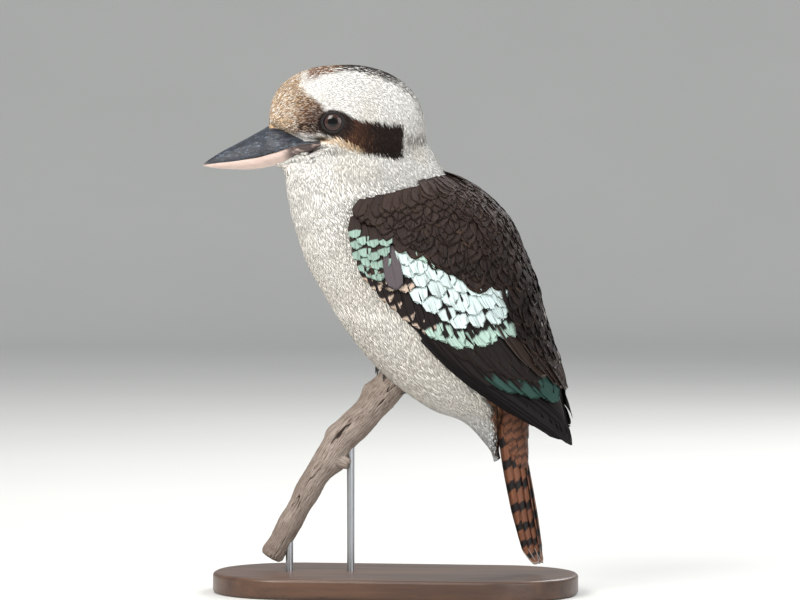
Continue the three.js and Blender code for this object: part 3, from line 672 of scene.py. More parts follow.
@dataclass(frozen=True)
class Plumage:
    """Colours of the feathers, and where each lies on the bird as it is seen from its side."""

    white: Array = tone(243, 240, 235)
    cream: Array = tone(236, 226, 210)
    cool: Array = tone(214, 222, 228)
    buff: Array = tone(220, 190, 154)
    rufous: Array = tone(124, 86, 62)
    brown: Array = tone(74, 47, 34)
    dark: Array = tone(38, 26, 22)
    mantle: Array = tone(54, 41, 36)
    lore: Array = tone(196, 190, 186)
    nape: Array = tone(120, 112, 108)

    def mantle_share(self, points: Array) -> Array:
        """How brown a place on the trunk is: 1 behind the white collar and over the wings' front edges."""
        h, z = seen_from_side(points)
        wander = 1.6 * GRAIN.rough(points, 7)
        behind = smooth(1.2, -1.2, z + wander - collar_height(h))
        station, share = trunk_place(points[..., 0], points[..., 2])
        front = np.interp(station, [2, 3, 5, 7, 9, 11, 12], [0.62, 0.62, 0.52, 0.42, 0.3, 0.3, 0.3])
        return behind * smooth(0.03, -0.03, share - front)

    def head(self, points: Array, chance: Array) -> Array:
        """Colours of the head.

        Args:
            points: Places in millimetres.
            chance: A number from 0 to 1 for each place, which makes single feathers darker or paler.

        Returns:
            Linear colours.
        """
        h, z = seen_from_side(points)
        y = np.abs(points[..., 1])
        drift = GRAIN.rough(points, 5)
        fine = GRAIN.rough(points + 40, 2.2)
        colour = blend(self.white, self.cream, 0.4 * smooth(0.1, 0.9, GRAIN.at(points, 16)))
        # Forehead and lores: buff with dark shaft streaks
        heights = [300, 314, 326, 332, 337, 345, 352, 361]
        edge = np.interp(z, heights, [-57, -52, -47.5, -52, -59, -66, -66, -60])
        front = smooth(2.5, -2.5, h + 2.2 * drift - edge) * smooth(311, 314.5, z + drift)
        streak = smooth(0.45, 0.62, chance + 0.15 * fine)
        rust = smooth(348, 326, z + 4 * drift) * smooth(-76, -62, h)
        mottle = blend(self.buff, self.rufous, 0.12 + 0.7 * rust)
        mottle = blend(mottle, self.brown, streak * (0.6 + 0.4 * rust))
        near_eye = smooth(15, 9, np.hypot(h + 51, (z - 323) * 1.3))
        mottle = blend(mottle, self.brown, 0.85 * near_eye)
        mottle = blend(mottle, self.white, smooth(0.3, 0.15, chance) * (0.8 - 0.6 * rust))
        colour = blend(colour, mottle, front)
        lore = smooth(5.2, 2.2, np.abs(z - np.interp(h, [-76, -64, -50], [316.5, 317, 318.5]) + drift))
        lore = lore * band(h, -75, -66, -50, -46)
        colour = blend(colour, self.dark, 0.8 * lore * smooth(0.15, 0.4, chance))
        # Crown: rufous in front, black behind, breaking into dashes
        strip = smooth(19, 14.5, y + 3 * drift) * smooth(-66, -60, h) * smooth(6, -8, h + 5 * fine)
        strip = strip * smooth(336, 344, z)
        crown = blend(self.rufous, self.dark, smooth(-48, -38, h + 8 * fine))
        crown = blend(crown, self.buff, smooth(0.3, 0.15, chance) * smooth(-30, -44, h))
        colour = blend(colour, crown, strip * smooth(0.12, 0.25, chance - 0.02 * (y - 12)))
        rear = smooth(15, 12, y + 2 * drift) * band(h, -8, -3, 10, 20) * smooth(320, 328, z)
        colour = blend(colour, self.dark, rear * smooth(0.62, 0.72, chance))
        # Mask behind the eye: square-ended, darkest at the rear, with rufous streaks in front
        top = np.interp(h, [-44, -36, -22, -9, 3, 6], [327, 325, 325.6, 324.4, 323.4, 320.5])
        low = np.interp(h, [-44, -36, -33, -21, -13, -3, 3, 6], [311, 310.4, 308, 305, 303, 300.6, 302, 306])
        mask = smooth(1.1, -1.1, z - top + 0.9 * fine) * smooth(-1.3, 1.3, z - low + 1.2 * fine)
        mask = mask * smooth(-45, -41, h) * smooth(6.5, 4.2, h + 0.9 * fine)
        shade = blend(self.brown, self.dark, smooth(-30, -12, h + 6 * fine))
        rusty = smooth(0.78, 0.9, chance) * smooth(-8, -22, h) * smooth(319, 313, z)
        shade = blend(shade, self.rufous, 0.6 * rusty)
        colour = blend(colour, shade, mask)
        ring = smooth(10.8, 8.6, np.hypot((h + 42.2) / 1.3, (z - 320.6) * 1.04) + 0.8 * fine)
        colour = blend(colour, self.dark, ring)
        # Buff line under the eye, and the small brown mark below the gape
        line = smooth(2.6, 1.2, np.abs(z - np.interp(h, [-56, -40, -22], [309, 309.2, 306.5])))
        colour = blend(colour, self.buff, 0.8 * line * band(h, -57, -52, -28, -20))
        gape = smooth(2.4, 0.9, np.abs(z - np.interp(h, [-56, -46, -34], [301.6, 304.4, 305])))
        gape = gape * band(h, -58, -54, -40, -34) * smooth(0.35, 0.55, chance)
        colour = blend(colour, self.brown, 0.6 * gape)
        # Grey lore patch over the gape, and grey streaks at the nape
        patch = smooth(4.8, 2.8, np.abs(z - 310.8)) * band(h, -71, -66, -53, -50)
        colour = blend(colour, self.lore, 0.8 * patch * smooth(1.0, 0.3, chance))
        nape = smooth(5, 9, h + 2 * drift) * smooth(4.5, 2.5, np.abs(z - 314)) * smooth(26, 20, h)
        return blend(colour, self.nape, 0.75 * nape * smooth(0.35, 0.6, chance))

    def skin(self, points: Array, chance: Array) -> Array:
        """Colours anywhere on the head, neck and trunk.

        Args:
            points: Places in millimetres.
            chance: A number from 0 to 1 for each place.

        Returns:
            Linear colours.
        """
        h, z = seen_from_side(points)
        colour = self.head(points, chance)
        warm = smooth(300, 215, z) * 0.3 + 0.2 * GRAIN.rough(points, 22) + 0.06
        body = blend(self.white, self.cream, np.clip(warm, 0, 0.9))
        patches = smooth(0.2, 0.8, GRAIN.rough(points + 90, 30)) * smooth(230, 180, z)
        body = blend(body, self.buff, 0.12 * patches)
        body = blend(body, self.cool, 0.55 * smooth(142, 118, z))
        body = blend(body, self.cool, 0.12 * smooth(0.75, 1.0, chance))
        colour = blend(body, colour, smooth(285, 293, z))
        brown = blend(self.mantle, self.dark, 0.5 * chance)
        bar = smooth(-0.2, 0.3, np.sin(z * 0.9 + drift_of(points)))
        rump = blend(self.rufous, self.dark, 0.8 * bar)
        brown = blend(brown, rump, smooth(150, 138, z))
        return blend(colour, brown, self.mantle_share(points))


PLUMAGE = Plumage()


class Value:
    """A node's output in a sum: + - and * add the Math nodes."""

    def __init__(self, graph: "Graph", socket: "bpy.types.NodeSocket") -> None:
        """Wraps a socket of a graph."""
        self.graph, self.socket = graph, socket

    def math(self, operation: str, *others: "Value | float") -> "Value":
        """One Math node on this value and others."""
        return self.graph.sum(operation, self, *others)

    def __add__(self, other: "Value | float") -> "Value":
        """Sum."""
        return self.math("ADD", other)

    def __sub__(self, other: "Value | float") -> "Value":
        """Difference."""
        return self.math("SUBTRACT", other)

    def __mul__(self, other: "Value | float") -> "Value":
        """Product."""
        return self.math("MULTIPLY", other)

    def __rsub__(self, other: float) -> "Value":
        """Difference from a number."""
        return self.graph.sum("SUBTRACT", other, self)

    __radd__ = __add__
    __rmul__ = __mul__

    def step(self, low: float, high: float) -> "Value":
        """Rises from 0 at low to 1 at high along a smooth S, and falls where low is the greater."""
        if low > high:
            return 1 - self.step(high, low)
        settings = {"interpolation_type": "SMOOTHSTEP"}
        values = {"Value": self, "From Min": low, "From Max": high}
        return self.graph.node("ShaderNodeMapRange", settings, values)


class Graph:
    """A material whose nodes are written as sums."""

    def __init__(self, name: str) -> None:
        """Starts a material with a Principled shader."""
        self.material = bpy.data.materials.new(name)
        self.material.use_nodes = True
        self.tree = self.material.node_tree
        self.shader = self.tree.nodes["Principled BSDF"]

    def node(
        self, kind: str, settings: dict | None = None, values: dict | None = None, output: int | str = 0
    ) -> Value:
        """Adds any node.

        Args:
            kind: The node's type.
            settings: Its properties, set first.
            values: Numbers, colours or links for its sockets, by name or number.
            output: The output to go on with.

        Returns:
            That output.
        """
        made = self.tree.nodes.new(kind)
        for name, value in (settings or {}).items():
            setattr(made, name, value)
        for name, value in (values or {}).items():
            if isinstance(value, Value):
                self.tree.links.new(value.socket, made.inputs[name])
            else:
                made.inputs[name].default_value = value
        return Value(self, made.outputs[output])

    def sum(self, operation: str, *terms: Value | float) -> Value:
        """One Math node on values or numbers."""
        return self.node("ShaderNodeMath", {"operation": operation}, dict(enumerate(terms)))

    def mix(
        self, share: Value | float, under: Value | Sequence[float], over: Value | Sequence[float]
    ) -> Value:
        """Mixes two colours."""
        colours = [c if isinstance(c, Value) else (*[float(x) for x in c], 1.0) for c in (under, over)]
        values = {0: share, 6: colours[0], 7: colours[1]}
        return self.node("ShaderNodeMix", {"data_type": "RGBA"}, values, 2)

    def shaded(self, colour: Value, amount: Value | float) -> Value:
        """A colour made darker or lighter by a factor."""
        return self.node("ShaderNodeVectorMath", {"operation": "SCALE"}, {0: colour, "Scale": amount})

    def vector(self, *parts: Value | float) -> Value:
        """A vector of up to three parts."""
        return self.node("ShaderNodeCombineXYZ", None, dict(enumerate(parts)))

    def vane(self) -> tuple[Value, Value]:
        """Places on a feather, from the map named Vane: across it, -1 to 1, and along it, root 0 to tip 1."""
        uv = self.node("ShaderNodeUVMap", {"uv_map": "Vane"})
        apart = self.node("ShaderNodeSeparateXYZ", None, {0: uv})
        return apart * 2 - 1, Value(self, apart.socket.node.outputs[1])

    def attribute(self, name: str, output: str = "Fac") -> Value:
        """A named attribute of the mesh."""
        return self.node("ShaderNodeAttribute", {"attribute_name": name}, None, output)

    def place(self) -> Value:
        """Object coordinates, which are metres in the bird's own frame."""
        return self.node("ShaderNodeTexCoord", None, None, "Object")

    def stretched(self, vector: Value, scale: Sequence[float], turn: Sequence[float] = (0, 0, 0)) -> Value:
        """A vector scaled and turned by a Mapping node."""
        values = {"Vector": vector, "Scale": tuple(scale), "Rotation": tuple(turn)}
        return self.node("ShaderNodeMapping", None, values)

    def noise(self, vector: Value, scale: float, detail: float = 3.0, roughness: float = 0.55) -> Value:
        """Noise from 0 to 1."""
        values = {"Vector": vector, "Scale": scale, "Detail": detail, "Roughness": roughness}
        return self.node("ShaderNodeTexNoise", None, values)

    def bump(self, height: Value, distance: float, strength: float = 1.0) -> Value:
        """A bump that feeds the shader's normal."""
        values = {"Height": height, "Distance": distance, "Strength": strength}
        made = self.node("ShaderNodeBump", None, values)
        self.tree.links.new(made.socket, self.shader.inputs["Normal"])
        return made

    def finish(self, colour: Value, roughness: Value | float, **uniform: float) -> Material:
        """Links the colour and roughness, and sets the even values.

        Args:
            colour: Base colour.
            roughness: A value or a number.
            uniform: Other inputs by name, with _ for a space.

        Returns:
            The material.
        """
        self.tree.links.new(colour.socket, self.shader.inputs["Base Color"])
        if isinstance(roughness, Value):
            self.tree.links.new(roughness.socket, self.shader.inputs["Roughness"])
        else:
            self.shader.inputs["Roughness"].default_value = roughness
        for name, value in uniform.items():
            self.shader.inputs[name.replace("_", " ")].default_value = value
        return self.material


@dataclass(frozen=True)
class DownFinish:
    """Tufts and skin: each point's own colour, which carries painted shade at the tufts' roots and on the
    skin and a painted highlight on the tufts' ridges, with fine unevenness along the barbs.
    """

    name: str = "down"
    unevenness: float = 0.16

    def make(self) -> Material:
        """The material."""
        g = Graph(self.name)
        # Colour with painted shade and painted highlights from the tufts and the skin.
        dye = g.attribute("Dye", "Color")
        fine = g.noise(g.place(), 900, 2)
        broad = g.noise(g.place(), 160, 2)
        factor = 1 - self.unevenness * (fine - 0.5) - 0.5 * self.unevenness * (broad - 0.5)
        g.bump(fine, 0.0003, 0.3)
        return g.finish(g.shaded(dye, factor), 0.8, Specular_IOR_Level=0.25)


@dataclass(frozen=True)
class VaneFinish:
    """Flat feathers: a ground colour, a frilled tip patch, a fringe, a shaft, and slanting barbs."""

    name: str = "vane"
    gloss: float = 0.6

    def make(self) -> Material:
        """The material."""
        g = Graph(self.name)
        across, along = g.vane()
        beside = across.math("ABSOLUTE")
        own = g.attribute("Own")
        streak = g.noise(g.vector(across * 9 + own * 31, along * 1.6 - beside * 0.5), 1.6, 3, 0.6)
        split = g.noise(g.vector(across * 7 + own * 53, along * 0.9), 1.9, 1)
        barbs = g.noise(g.vector(own * 7, along * 46 - beside * 15), 1.0, 1)
        past = along - g.attribute("TipFrom") - beside * beside * 0.1 + (streak - 0.5) * 0.13
        tip = past.step(-0.03, 0.04)
        gaps = split.step(0.51, 0.6) * g.attribute("Frill") * along.step(0.45, 0.8)
        edge = beside.math("MAXIMUM", along * 7 - 6) + (streak - 0.5) * 0.16 + g.attribute("Fringe") * 0.35
        rim = edge.step(1.08, 1.2)
        ground, patch = g.attribute("Ground", "Color"), g.attribute("Patch", "Color")
        colour = g.mix(tip * (1 - gaps), ground, patch)
        colour = g.mix(rim * (1 - gaps * 0.7), colour, g.attribute("Rim", "Color"))
        shaft = beside.step(0.075, 0.02)
        factor = 1 - (streak - 0.5) * 0.5 - (barbs - 0.5) * 0.25 - shaft * (0.2 - tip * 0.14)
        g.bump(barbs * 0.5 + streak * 0.6 + shaft * 0.4, 0.0004, 0.45)
        gloss = self.gloss + (streak - 0.5) * 0.25
        return g.finish(g.shaded(colour, factor), gloss, Specular_IOR_Level=0.16)


@dataclass(frozen=True)
class BarredFinish:
    """Tail feathers: rufous with black bars that cross the shaft a little unevenly, and a pale tip."""

    name: str = "barred"
    rufous: tuple[float, float, float] = (124, 79, 57)
    black: tuple[float, float, float] = (27, 21, 21)
    pale: tuple[float, float, float] = (230, 218, 204)
    shaft: float = 0.3

    def make(self) -> Material:
        """The material. The attribute Reach is the distance from the tail's root in bar spacings."""
        g = Graph(self.name)
        across, along = g.vane()
        own = g.attribute("Own")
        wander = g.noise(g.vector(across * 2 + own * 13, along * 22, own * 5), 1.0, 2)
        off = (across - self.shaft).math("ABSOLUTE")
        fine = g.noise(g.vector(own * 7, along * 150 - off * 26), 1.0, 1)
        web = g.noise(g.vector(across * 8 + own * 7, along * 9), 1.0, 3)
        place = g.attribute("Reach") + (wander - 0.5) * 0.3 + (across - self.shaft) * 0.32
        bar = (place.math("FRACT") - 0.5).math("ABSOLUTE").step(0.25, 0.17) * (g.attribute("Tip") * 0.4 + 0.6)
        edge = (0 - across).step(0.86, 0.95) * g.attribute("Fringe") * along.step(0.4, 0.75)
        tip = along.step(0.982, 0.995) * g.attribute("Tip")
        base = g.mix(web.step(0.3, 0.7), srgb(*self.rufous), srgb(*self.rufous) * 0.62)
        colour = g.mix(bar, base, srgb(*self.black))
        inner = across.step(self.shaft + 0.02, self.shaft + 0.14) * g.attribute("Inner")
        colour = g.mix(inner * 0.85, colour, srgb(*self.black))
        colour = g.mix(edge, colour, srgb(*self.pale))
        colour = g.mix(tip * 0.5, colour, srgb(*self.pale))
        # Painted sheen: a pale blue-grey strip along the shaft of the inner feathers.
        gleam = off.step(0.09, 0.02) * g.attribute("Inner")
        colour = g.mix(gleam * 0.5, colour, srgb(140, 144, 156))
        g.bump(fine * 0.5 + off.step(0.1, 0.02), 0.0004, 0.6)
        gloss = 0.46 + (fine - 0.5) * 0.2
        return g.finish(g.shaded(colour, 1 - (fine - 0.5) * 0.35), gloss, Specular_IOR_Level=0.25)


@dataclass(frozen=True)
class BillFinish:
    """Horn of the bill: long scuffs and pits over one colour that pales or darkens along it."""

    name: str
    horn: tuple[float, float, float]
    worn: tuple[float, float, float]
    stain: tuple[float, float, float]
    scuffs: float
    mottle: float

    def make(self) -> Material:
        """The material. The attribute Back is 0 at the bill's tip and 1 at the gape."""
        g = Graph(self.name)
        place = g.place()
        long_way = g.stretched(place, (55, 800, 800), (0, 0.28, 0))
        scratch = g.noise(long_way, 1.0, 6, 0.7)
        cloud = g.noise(g.stretched(place, (110, 330, 330), (0, 0.28, 0)), 1.0, 5, 0.65)
        pits = g.noise(place, 1200, 2)
        back = g.attribute("Back")
        worn = scratch.step(0.5, 0.68) * cloud.step(0.3, 0.62)
        colour = g.mix(cloud.step(0.38, 0.62), srgb(*self.horn), srgb(*self.horn) * self.mottle)
        colour = g.mix(worn * self.scuffs, colour, srgb(*self.worn))
        stained = back.step(0.7, 0.82) * cloud.step(0.3, 0.5) * g.attribute("Stain")
        colour = g.mix(stained, colour, srgb(*self.stain))
        tip = back.step(0.09, 0.0)
        colour = g.mix(tip * 0.45, colour, srgb(150, 140, 130))
        g.bump(scratch * 0.7 + pits * 0.15, 0.0005, 0.6)
        return g.finish(colour, 0.3 + scratch * 0.3, Specular_IOR_Level=0.5)


@dataclass(frozen=True)
class EyeFinish:
    """Eyeball: black pupil, brown iris with fine rays, a paler ring at its edge and a dark rim."""

    name: str = "eyeball"

    def make(self) -> Material:
        """The material. The attribute Off is the distance from the pupil's middle, in millimetres."""
        g = Graph(self.name)
        off = g.attribute("Off")
        rays = g.noise(g.stretched(g.place(), (1, 1, 1)), 1400, 2)
        inner = g.mix(rays.step(0.3, 0.7), srgb(40, 25, 21), srgb(58, 37, 31))
        colour = g.mix(off.step(4.4, 5.6), inner, srgb(74, 54, 52))
        colour = g.mix(off.step(5.5, 6.1), colour, srgb(16, 11, 11))
        colour = g.mix(off.step(3.6, 3.1), colour, srgb(4, 4, 6))
        return g.finish(colour, 0.12, Specular_IOR_Level=0.3, Coat_Weight=0.3, Coat_Roughness=0.03)


@dataclass(frozen=True)
class HideFinish:
    """Bare skin of lids, legs and toes: small scales over a dark grey."""

    name: str
    colour: tuple[float, float, float]
    scale: float = 1100.0
    roughness: float = 0.5

    def make(self) -> Material:
        """The material."""
        g = Graph(self.name)
        place = g.place()
        settings = {"feature": "DISTANCE_TO_EDGE"}
        cells = g.node("ShaderNodeTexVoronoi", settings, {"Vector": place, "Scale": self.scale})
        cloud = g.noise(place, 300, 3)
        seam = cells.step(0.12, 0.0)
        colour = g.mix(cloud, srgb(*self.colour) * 0.7, srgb(*self.colour) * 1.35)
        colour = g.mix(seam * 0.6, colour, srgb(*self.colour) * 0.35)
        g.bump(cells.step(0.0, 0.2), 0.0002, 0.6)
        return g.finish(colour, self.roughness)


@dataclass(frozen=True)
class BarkFinish:
    """Weathered wood: grey over tan, with long dark cracks and pale worn crests."""

    name: str = "weathered_wood"

    def make(self) -> Material:
        """The material. The map named Bark runs along the branch and round it, in hundredths of a metre."""
        g = Graph(self.name)
        uv = g.node("ShaderNodeUVMap", {"uv_map": "Bark"})
        fibre = g.noise(g.stretched(uv, (0.8, 9, 1)), 1.6, 8, 0.7)
        cloud = g.noise(g.place(), 38, 5, 0.6)
        deep = g.attribute("Crack")
        speck = g.noise(g.stretched(uv, (6, 16, 1)), 1.5, 5, 0.75)
        colour = g.mix(cloud.step(0.35, 0.65), srgb(138, 124, 114), srgb(170, 157, 147))
        colour = g.mix(fibre.step(0.42, 0.62), colour, srgb(108, 92, 82))
        colour = g.mix(speck.step(0.6, 0.72) * 0.7, colour, srgb(206, 192, 178))
        colour = g.mix(speck.step(0.36, 0.28) * 0.8, colour, srgb(70, 54, 46))
        colour = g.mix(deep.step(0.25, 0.8), colour, srgb(48, 36, 31))
        g.bump(fibre * 0.8 + speck * 0.5, 0.0011, 0.8)
        return g.finish(colour, 0.86, Specular_IOR_Level=0.25)


@dataclass(frozen=True)
class BoardFinish:
    """Turned and oiled board of the stand, with grain along it."""

    name: str = "dark_board"

    def make(self) -> Material:
        """The material."""
        g = Graph(self.name)
        place = g.place()
        bend = g.noise(place, 9, 2)
        grain = g.noise(g.stretched(place, (7, 90, 90)), 1.0, 8, 0.65)
        pores = g.noise(g.stretched(place, (60, 1300, 1300)), 1.0, 3)
        rings = (grain * 0.8 + bend * 0.4).step(0.4, 0.8)
        colour = g.mix(rings, srgb(92, 62, 42), srgb(58, 36, 25))
        colour = g.mix(pores.step(0.62, 0.7) * 0.6, colour, srgb(34, 22, 17))
        g.bump(pores * 0.5 + grain * 0.3, 0.0003, 0.5)
        return g.finish(colour, 0.34 + grain * 0.2, Coat_Weight=0.25, Coat_Roughness=0.25)


@dataclass(frozen=True)
class SteelFinish:
    """Brushed steel of the rods."""

    name: str = "brushed_steel"

    def make(self) -> Material:
        """The material."""
        g = Graph(self.name)
        lines = g.noise(g.stretched(g.place(), (900, 900, 40)), 1.0, 4)
        colour = g.mix(lines, srgb(150, 152, 156), srgb(186, 188, 192))
        g.bump(lines, 0.0001, 0.3)
        return g.finish(colour, 0.24 + lines * 0.2, Metallic=1.0)


@dataclass(frozen=True)
class StudioFinish:
    """Plain pale paper of the floor."""

    name: str = "studio_paper"

    def make(self) -> Material:
        """The material."""
        g = Graph(self.name)
        cloud = g.noise(g.place(), 3, 2)
        return g.finish(g.mix(cloud, srgb(206, 206, 203), srgb(212, 212, 209)), 0.9, Specular_IOR_Level=0.1)


@dataclass
class Skin:
    """The bare skin of head, neck and trunk as one closed surface, dyed like the coat over it and painted a
    little darker as shade under it.
    """

    flesh: Flesh = field(default_factory=Flesh)

    def build(self) -> Surface:
        """Makes the piece.

        Returns:
            Its surface, which the coat grows on.
        """
        surface = self.flesh.surface()
        points = surface.points
        chance = 0.5 + 0.35 * GRAIN.rough(points, 1.5)
        # The skin takes the coat's colours, painted 3% darker as the shade under the tufts.
        dye = PLUMAGE.skin(points, chance) * 0.97
        rows, columns = points.shape[:2]
        rings, faces = closed_tube(points)
        u = np.repeat(np.linspace(0, 1, rows), columns)
        v = np.tile(np.arange(columns) / columns, rows)
        uv = np.stack([np.concatenate([u, [0, 1]]), np.concatenate([v, [0.5, 0.5]])], 1)
        dyes = np.concatenate([dye.reshape(-1, 3), dye[0].mean(0)[None], dye[-1].mean(0)[None]])
        body = Body().add(rings, faces, Dye=dyes, OFBake=uv)
        body.wear("skin", DownFinish("skin_down").make(), "plumage", "head", "neck", "torso")
        return surface


@dataclass(frozen=True)
class TuftCut:
    """Measures of the tufts of one region, in millimetres."""

    length: float
    width: float
    lift: float
    thick: float = 0.3
    rings: int = 3
    sway: float = 0.16


@dataclass
class Down:
    """One piece of the body's coat: narrow pointed tufts that follow the skin from root to tip."""

    name: str
    count: int
    cut: TuftCut
    weight: Callable[[Array], Array]
    seed: int
    size: Callable[[Array], Array] = field(default=lambda points: np.ones(points.shape[:-1]))
    overhang: float = 5.0

    def build(self, surface: Surface, finish: Material) -> None:
        """Makes the piece.

        A tuft's middle line is the skin's own point at (u + t du, v + t dv), raised by its lift times t to
        the power 0.8. Round it go three points: an edge on each side and a ridge, all narrowing to the tip.

        Args:
            surface: The skin.
            finish: The material of the coat.
        """
        rng = np.random.default_rng(self.seed)
        u, v = surface.scatter(self.count, self.weight(surface.points), self.seed)
        root, _ = surface.place(u, v)
        scale = self.size(root)
        length = self.cut.length * scale * rng.uniform(0.75, 1.2, self.count)
        width = self.cut.width * np.sqrt(scale) * rng.uniform(0.8, 1.2, self.count)
        lift = self.cut.lift * scale * rng.uniform(0.75, 1.25, self.count)
        turn = rng.normal(0, self.cut.sway, self.count)
        reach = np.maximum(surface.read(surface.reach, u, v), 8)
        length = np.minimum(length, (1 - u) * reach[:, 0] + self.overhang)
        du, dv = np.cos(turn) * length / reach[:, 0], np.sin(turn) * length / reach[:, 1]
        t = np.array([0, 0.4, 0.78, 1] if self.cut.rings == 3 else [0, 0.5, 1])[None, :]
        along_u, along_v = u[:, None] + du[:, None] * t, v[:, None] + dv[:, None] * t
        middle, normal = surface.place(along_u, along_v)
        over = np.maximum(along_u - 1, 0) / np.maximum(du[:, None], 1e-9) * length[:, None]
        middle = middle + over[..., None] * np.array([0.25, 0, -0.97])
        rise = lift[:, None] * t**0.8 - 0.25 * self.cut.lift * (1 - t)
        middle = middle + normal * rise[..., None]
        along = unit(np.gradient(middle, axis=1))
        side = unit(np.cross(normal, along))
        full = width[:, None] / 2 * np.interp(t, [0, 0.4, 0.78, 1], [0.8, 1, 0.66, 0])
        thick = self.cut.thick * (1 - 0.7 * t)
        left = middle - side * full[..., None]
        right = middle + side * full[..., None]
        ridge = middle + normal * (thick * np.ones_like(full))[..., None]
        ridge[:, -1] = middle[:, -1]
        rings = np.stack([left, ridge, right], 2)
        points, faces = many_strands(rings)
        chance = rng.uniform(0, 1, self.count)
        dye = PLUMAGE.skin(root, chance) * rng.uniform(0.97, 1.02, (self.count, 1))
        # Painted shade: each tuft's colour is made darker towards its root, where it lies among the other
        # tufts.
        shade = 0.96 + 0.04 * np.minimum(t * 1.6, 1)
        # Painted highlight and shade: the ridge point is painted 2% lighter and the two edge points 2%
        # darker.
        dyes = (dye[:, None] * shade[..., None])[:, :, None] * np.array([0.98, 1.02, 0.98])[:, None]
        patch = stacked(TUFT_PATCH[0] * (t - 0.5)[..., None], TUFT_PATCH[1] * np.array([-1, 0, 1]))
        spots = np.clip(np.stack([u, v], -1)[:, None, None] + patch, 0.001, 0.999)
        body = Body().add(points, faces, Dye=strand_values(dyes), OFBake=strand_values(spots))
        body.wear(self.name, finish, "plumage")


def under_wing(points: Array) -> Array:
    """1 where the folded wings hide the skin well inside their edges, else 0."""
    station, share = trunk_place(points[..., 0], points[..., 2])
    front = np.interp(station, [2, 2.6, 3, 5, 7, 9, 10, 11], [0.1, 0.4, 0.6, 0.58, 0.5, 0.3, 0.1, 0])
    within = (share < front) & (np.abs(points[..., 1]) > 24) & (station > 2.6) & (points[..., 2] < 262)
    return within.astype(float)


@dataclass
class Coat:
    """The down of head, neck, breast and belly, piece by piece, smallest on the face."""

    finish: DownFinish = field(default_factory=DownFinish)

    def head_weight(self, points: Array) -> Array:
        """Thick over the head down to the throat, thicker on the face."""
        z, x = points[..., 2], points[..., 0]
        free = np.abs(points[..., 1]) > np.where(x < -50, horn_half(x, z, 1.0) - 0.2, 0)
        bare = ((bill_share(points) < 0.4) & free) * self.clear_of_eye(points)
        return smooth(284, 294, z + 0.25 * (x + 40)) * (1 + 0.9 * smooth(-40, -62, x)) * bare

    def clear_of_eye(self, points: Array) -> Array:
        """0 within the eye's opening, else 1."""
        return (np.hypot(points[..., 0] - Eyes.x, points[..., 2] - Eyes.z) > 7.3).astype(float)

    def neck_weight(self, points: Array) -> Array:
        """Neck and breast, where no wing lies over them."""
        z, x = points[..., 2], points[..., 0]
        return smooth(298, 288, z + 0.25 * (x + 40)) * smooth(196, 206, z) * (1 - under_wing(points))

    def belly_weight(self, points: Array) -> Array:
        """Belly, flanks and vent, where no wing lies over them."""
        return smooth(206, 196, points[..., 2]) * (1 - under_wing(points))

    def head_size(self, points: Array) -> Array:
        """Tufts grow from the face to the nape."""
        x, z = points[..., 0], points[..., 2]
        eye = np.hypot(x - Eyes.x, z - Eyes.z)
        size = 0.62 + 0.5 * smooth(-70, -10, x) + 0.25 * smooth(300, 288, z)
        return size * (0.55 + 0.45 * smooth(8, 18, eye))

    def belly_size(self, points: Array) -> Array:
        """Tufts grow longer towards the vent."""
        return 1 + 0.1 * smooth(150, 110, points[..., 2])

    def pieces(self) -> list[Down]:
        """The pieces, with their number of tufts."""
        fine = TuftCut(length=6.6, width=1.1, lift=0.34, thick=0.05, rings=2, sway=0.1)
        soft = TuftCut(length=15, width=2.5, lift=0.38, thick=0.035, rings=3, sway=0.07)
        loose = TuftCut(length=17, width=2.5, lift=0.62, thick=0.05, rings=3, sway=0.11)
        return [
            Down("down_head_fore", 19500, fine, self.head_weight, 3, self.head_size),
            Down("down_head_after", 19500, fine, self.head_weight, 4, self.head_size),
            Down("down_neck", 12300, soft, self.neck_weight, 5),
            Down("down_breast", 12300, soft, self.neck_weight, 6),
            Down("down_belly", 11000, loose, self.belly_weight, 7, self.belly_size),
            Down("down_flanks", 11000, loose, self.belly_weight, 8, self.belly_size),
        ]

    def build(self, surface: Surface) -> None:
        """Makes every piece on the skin."""
        finish = self.finish.make()
        for piece in self.pieces():
            piece.build(surface, finish)


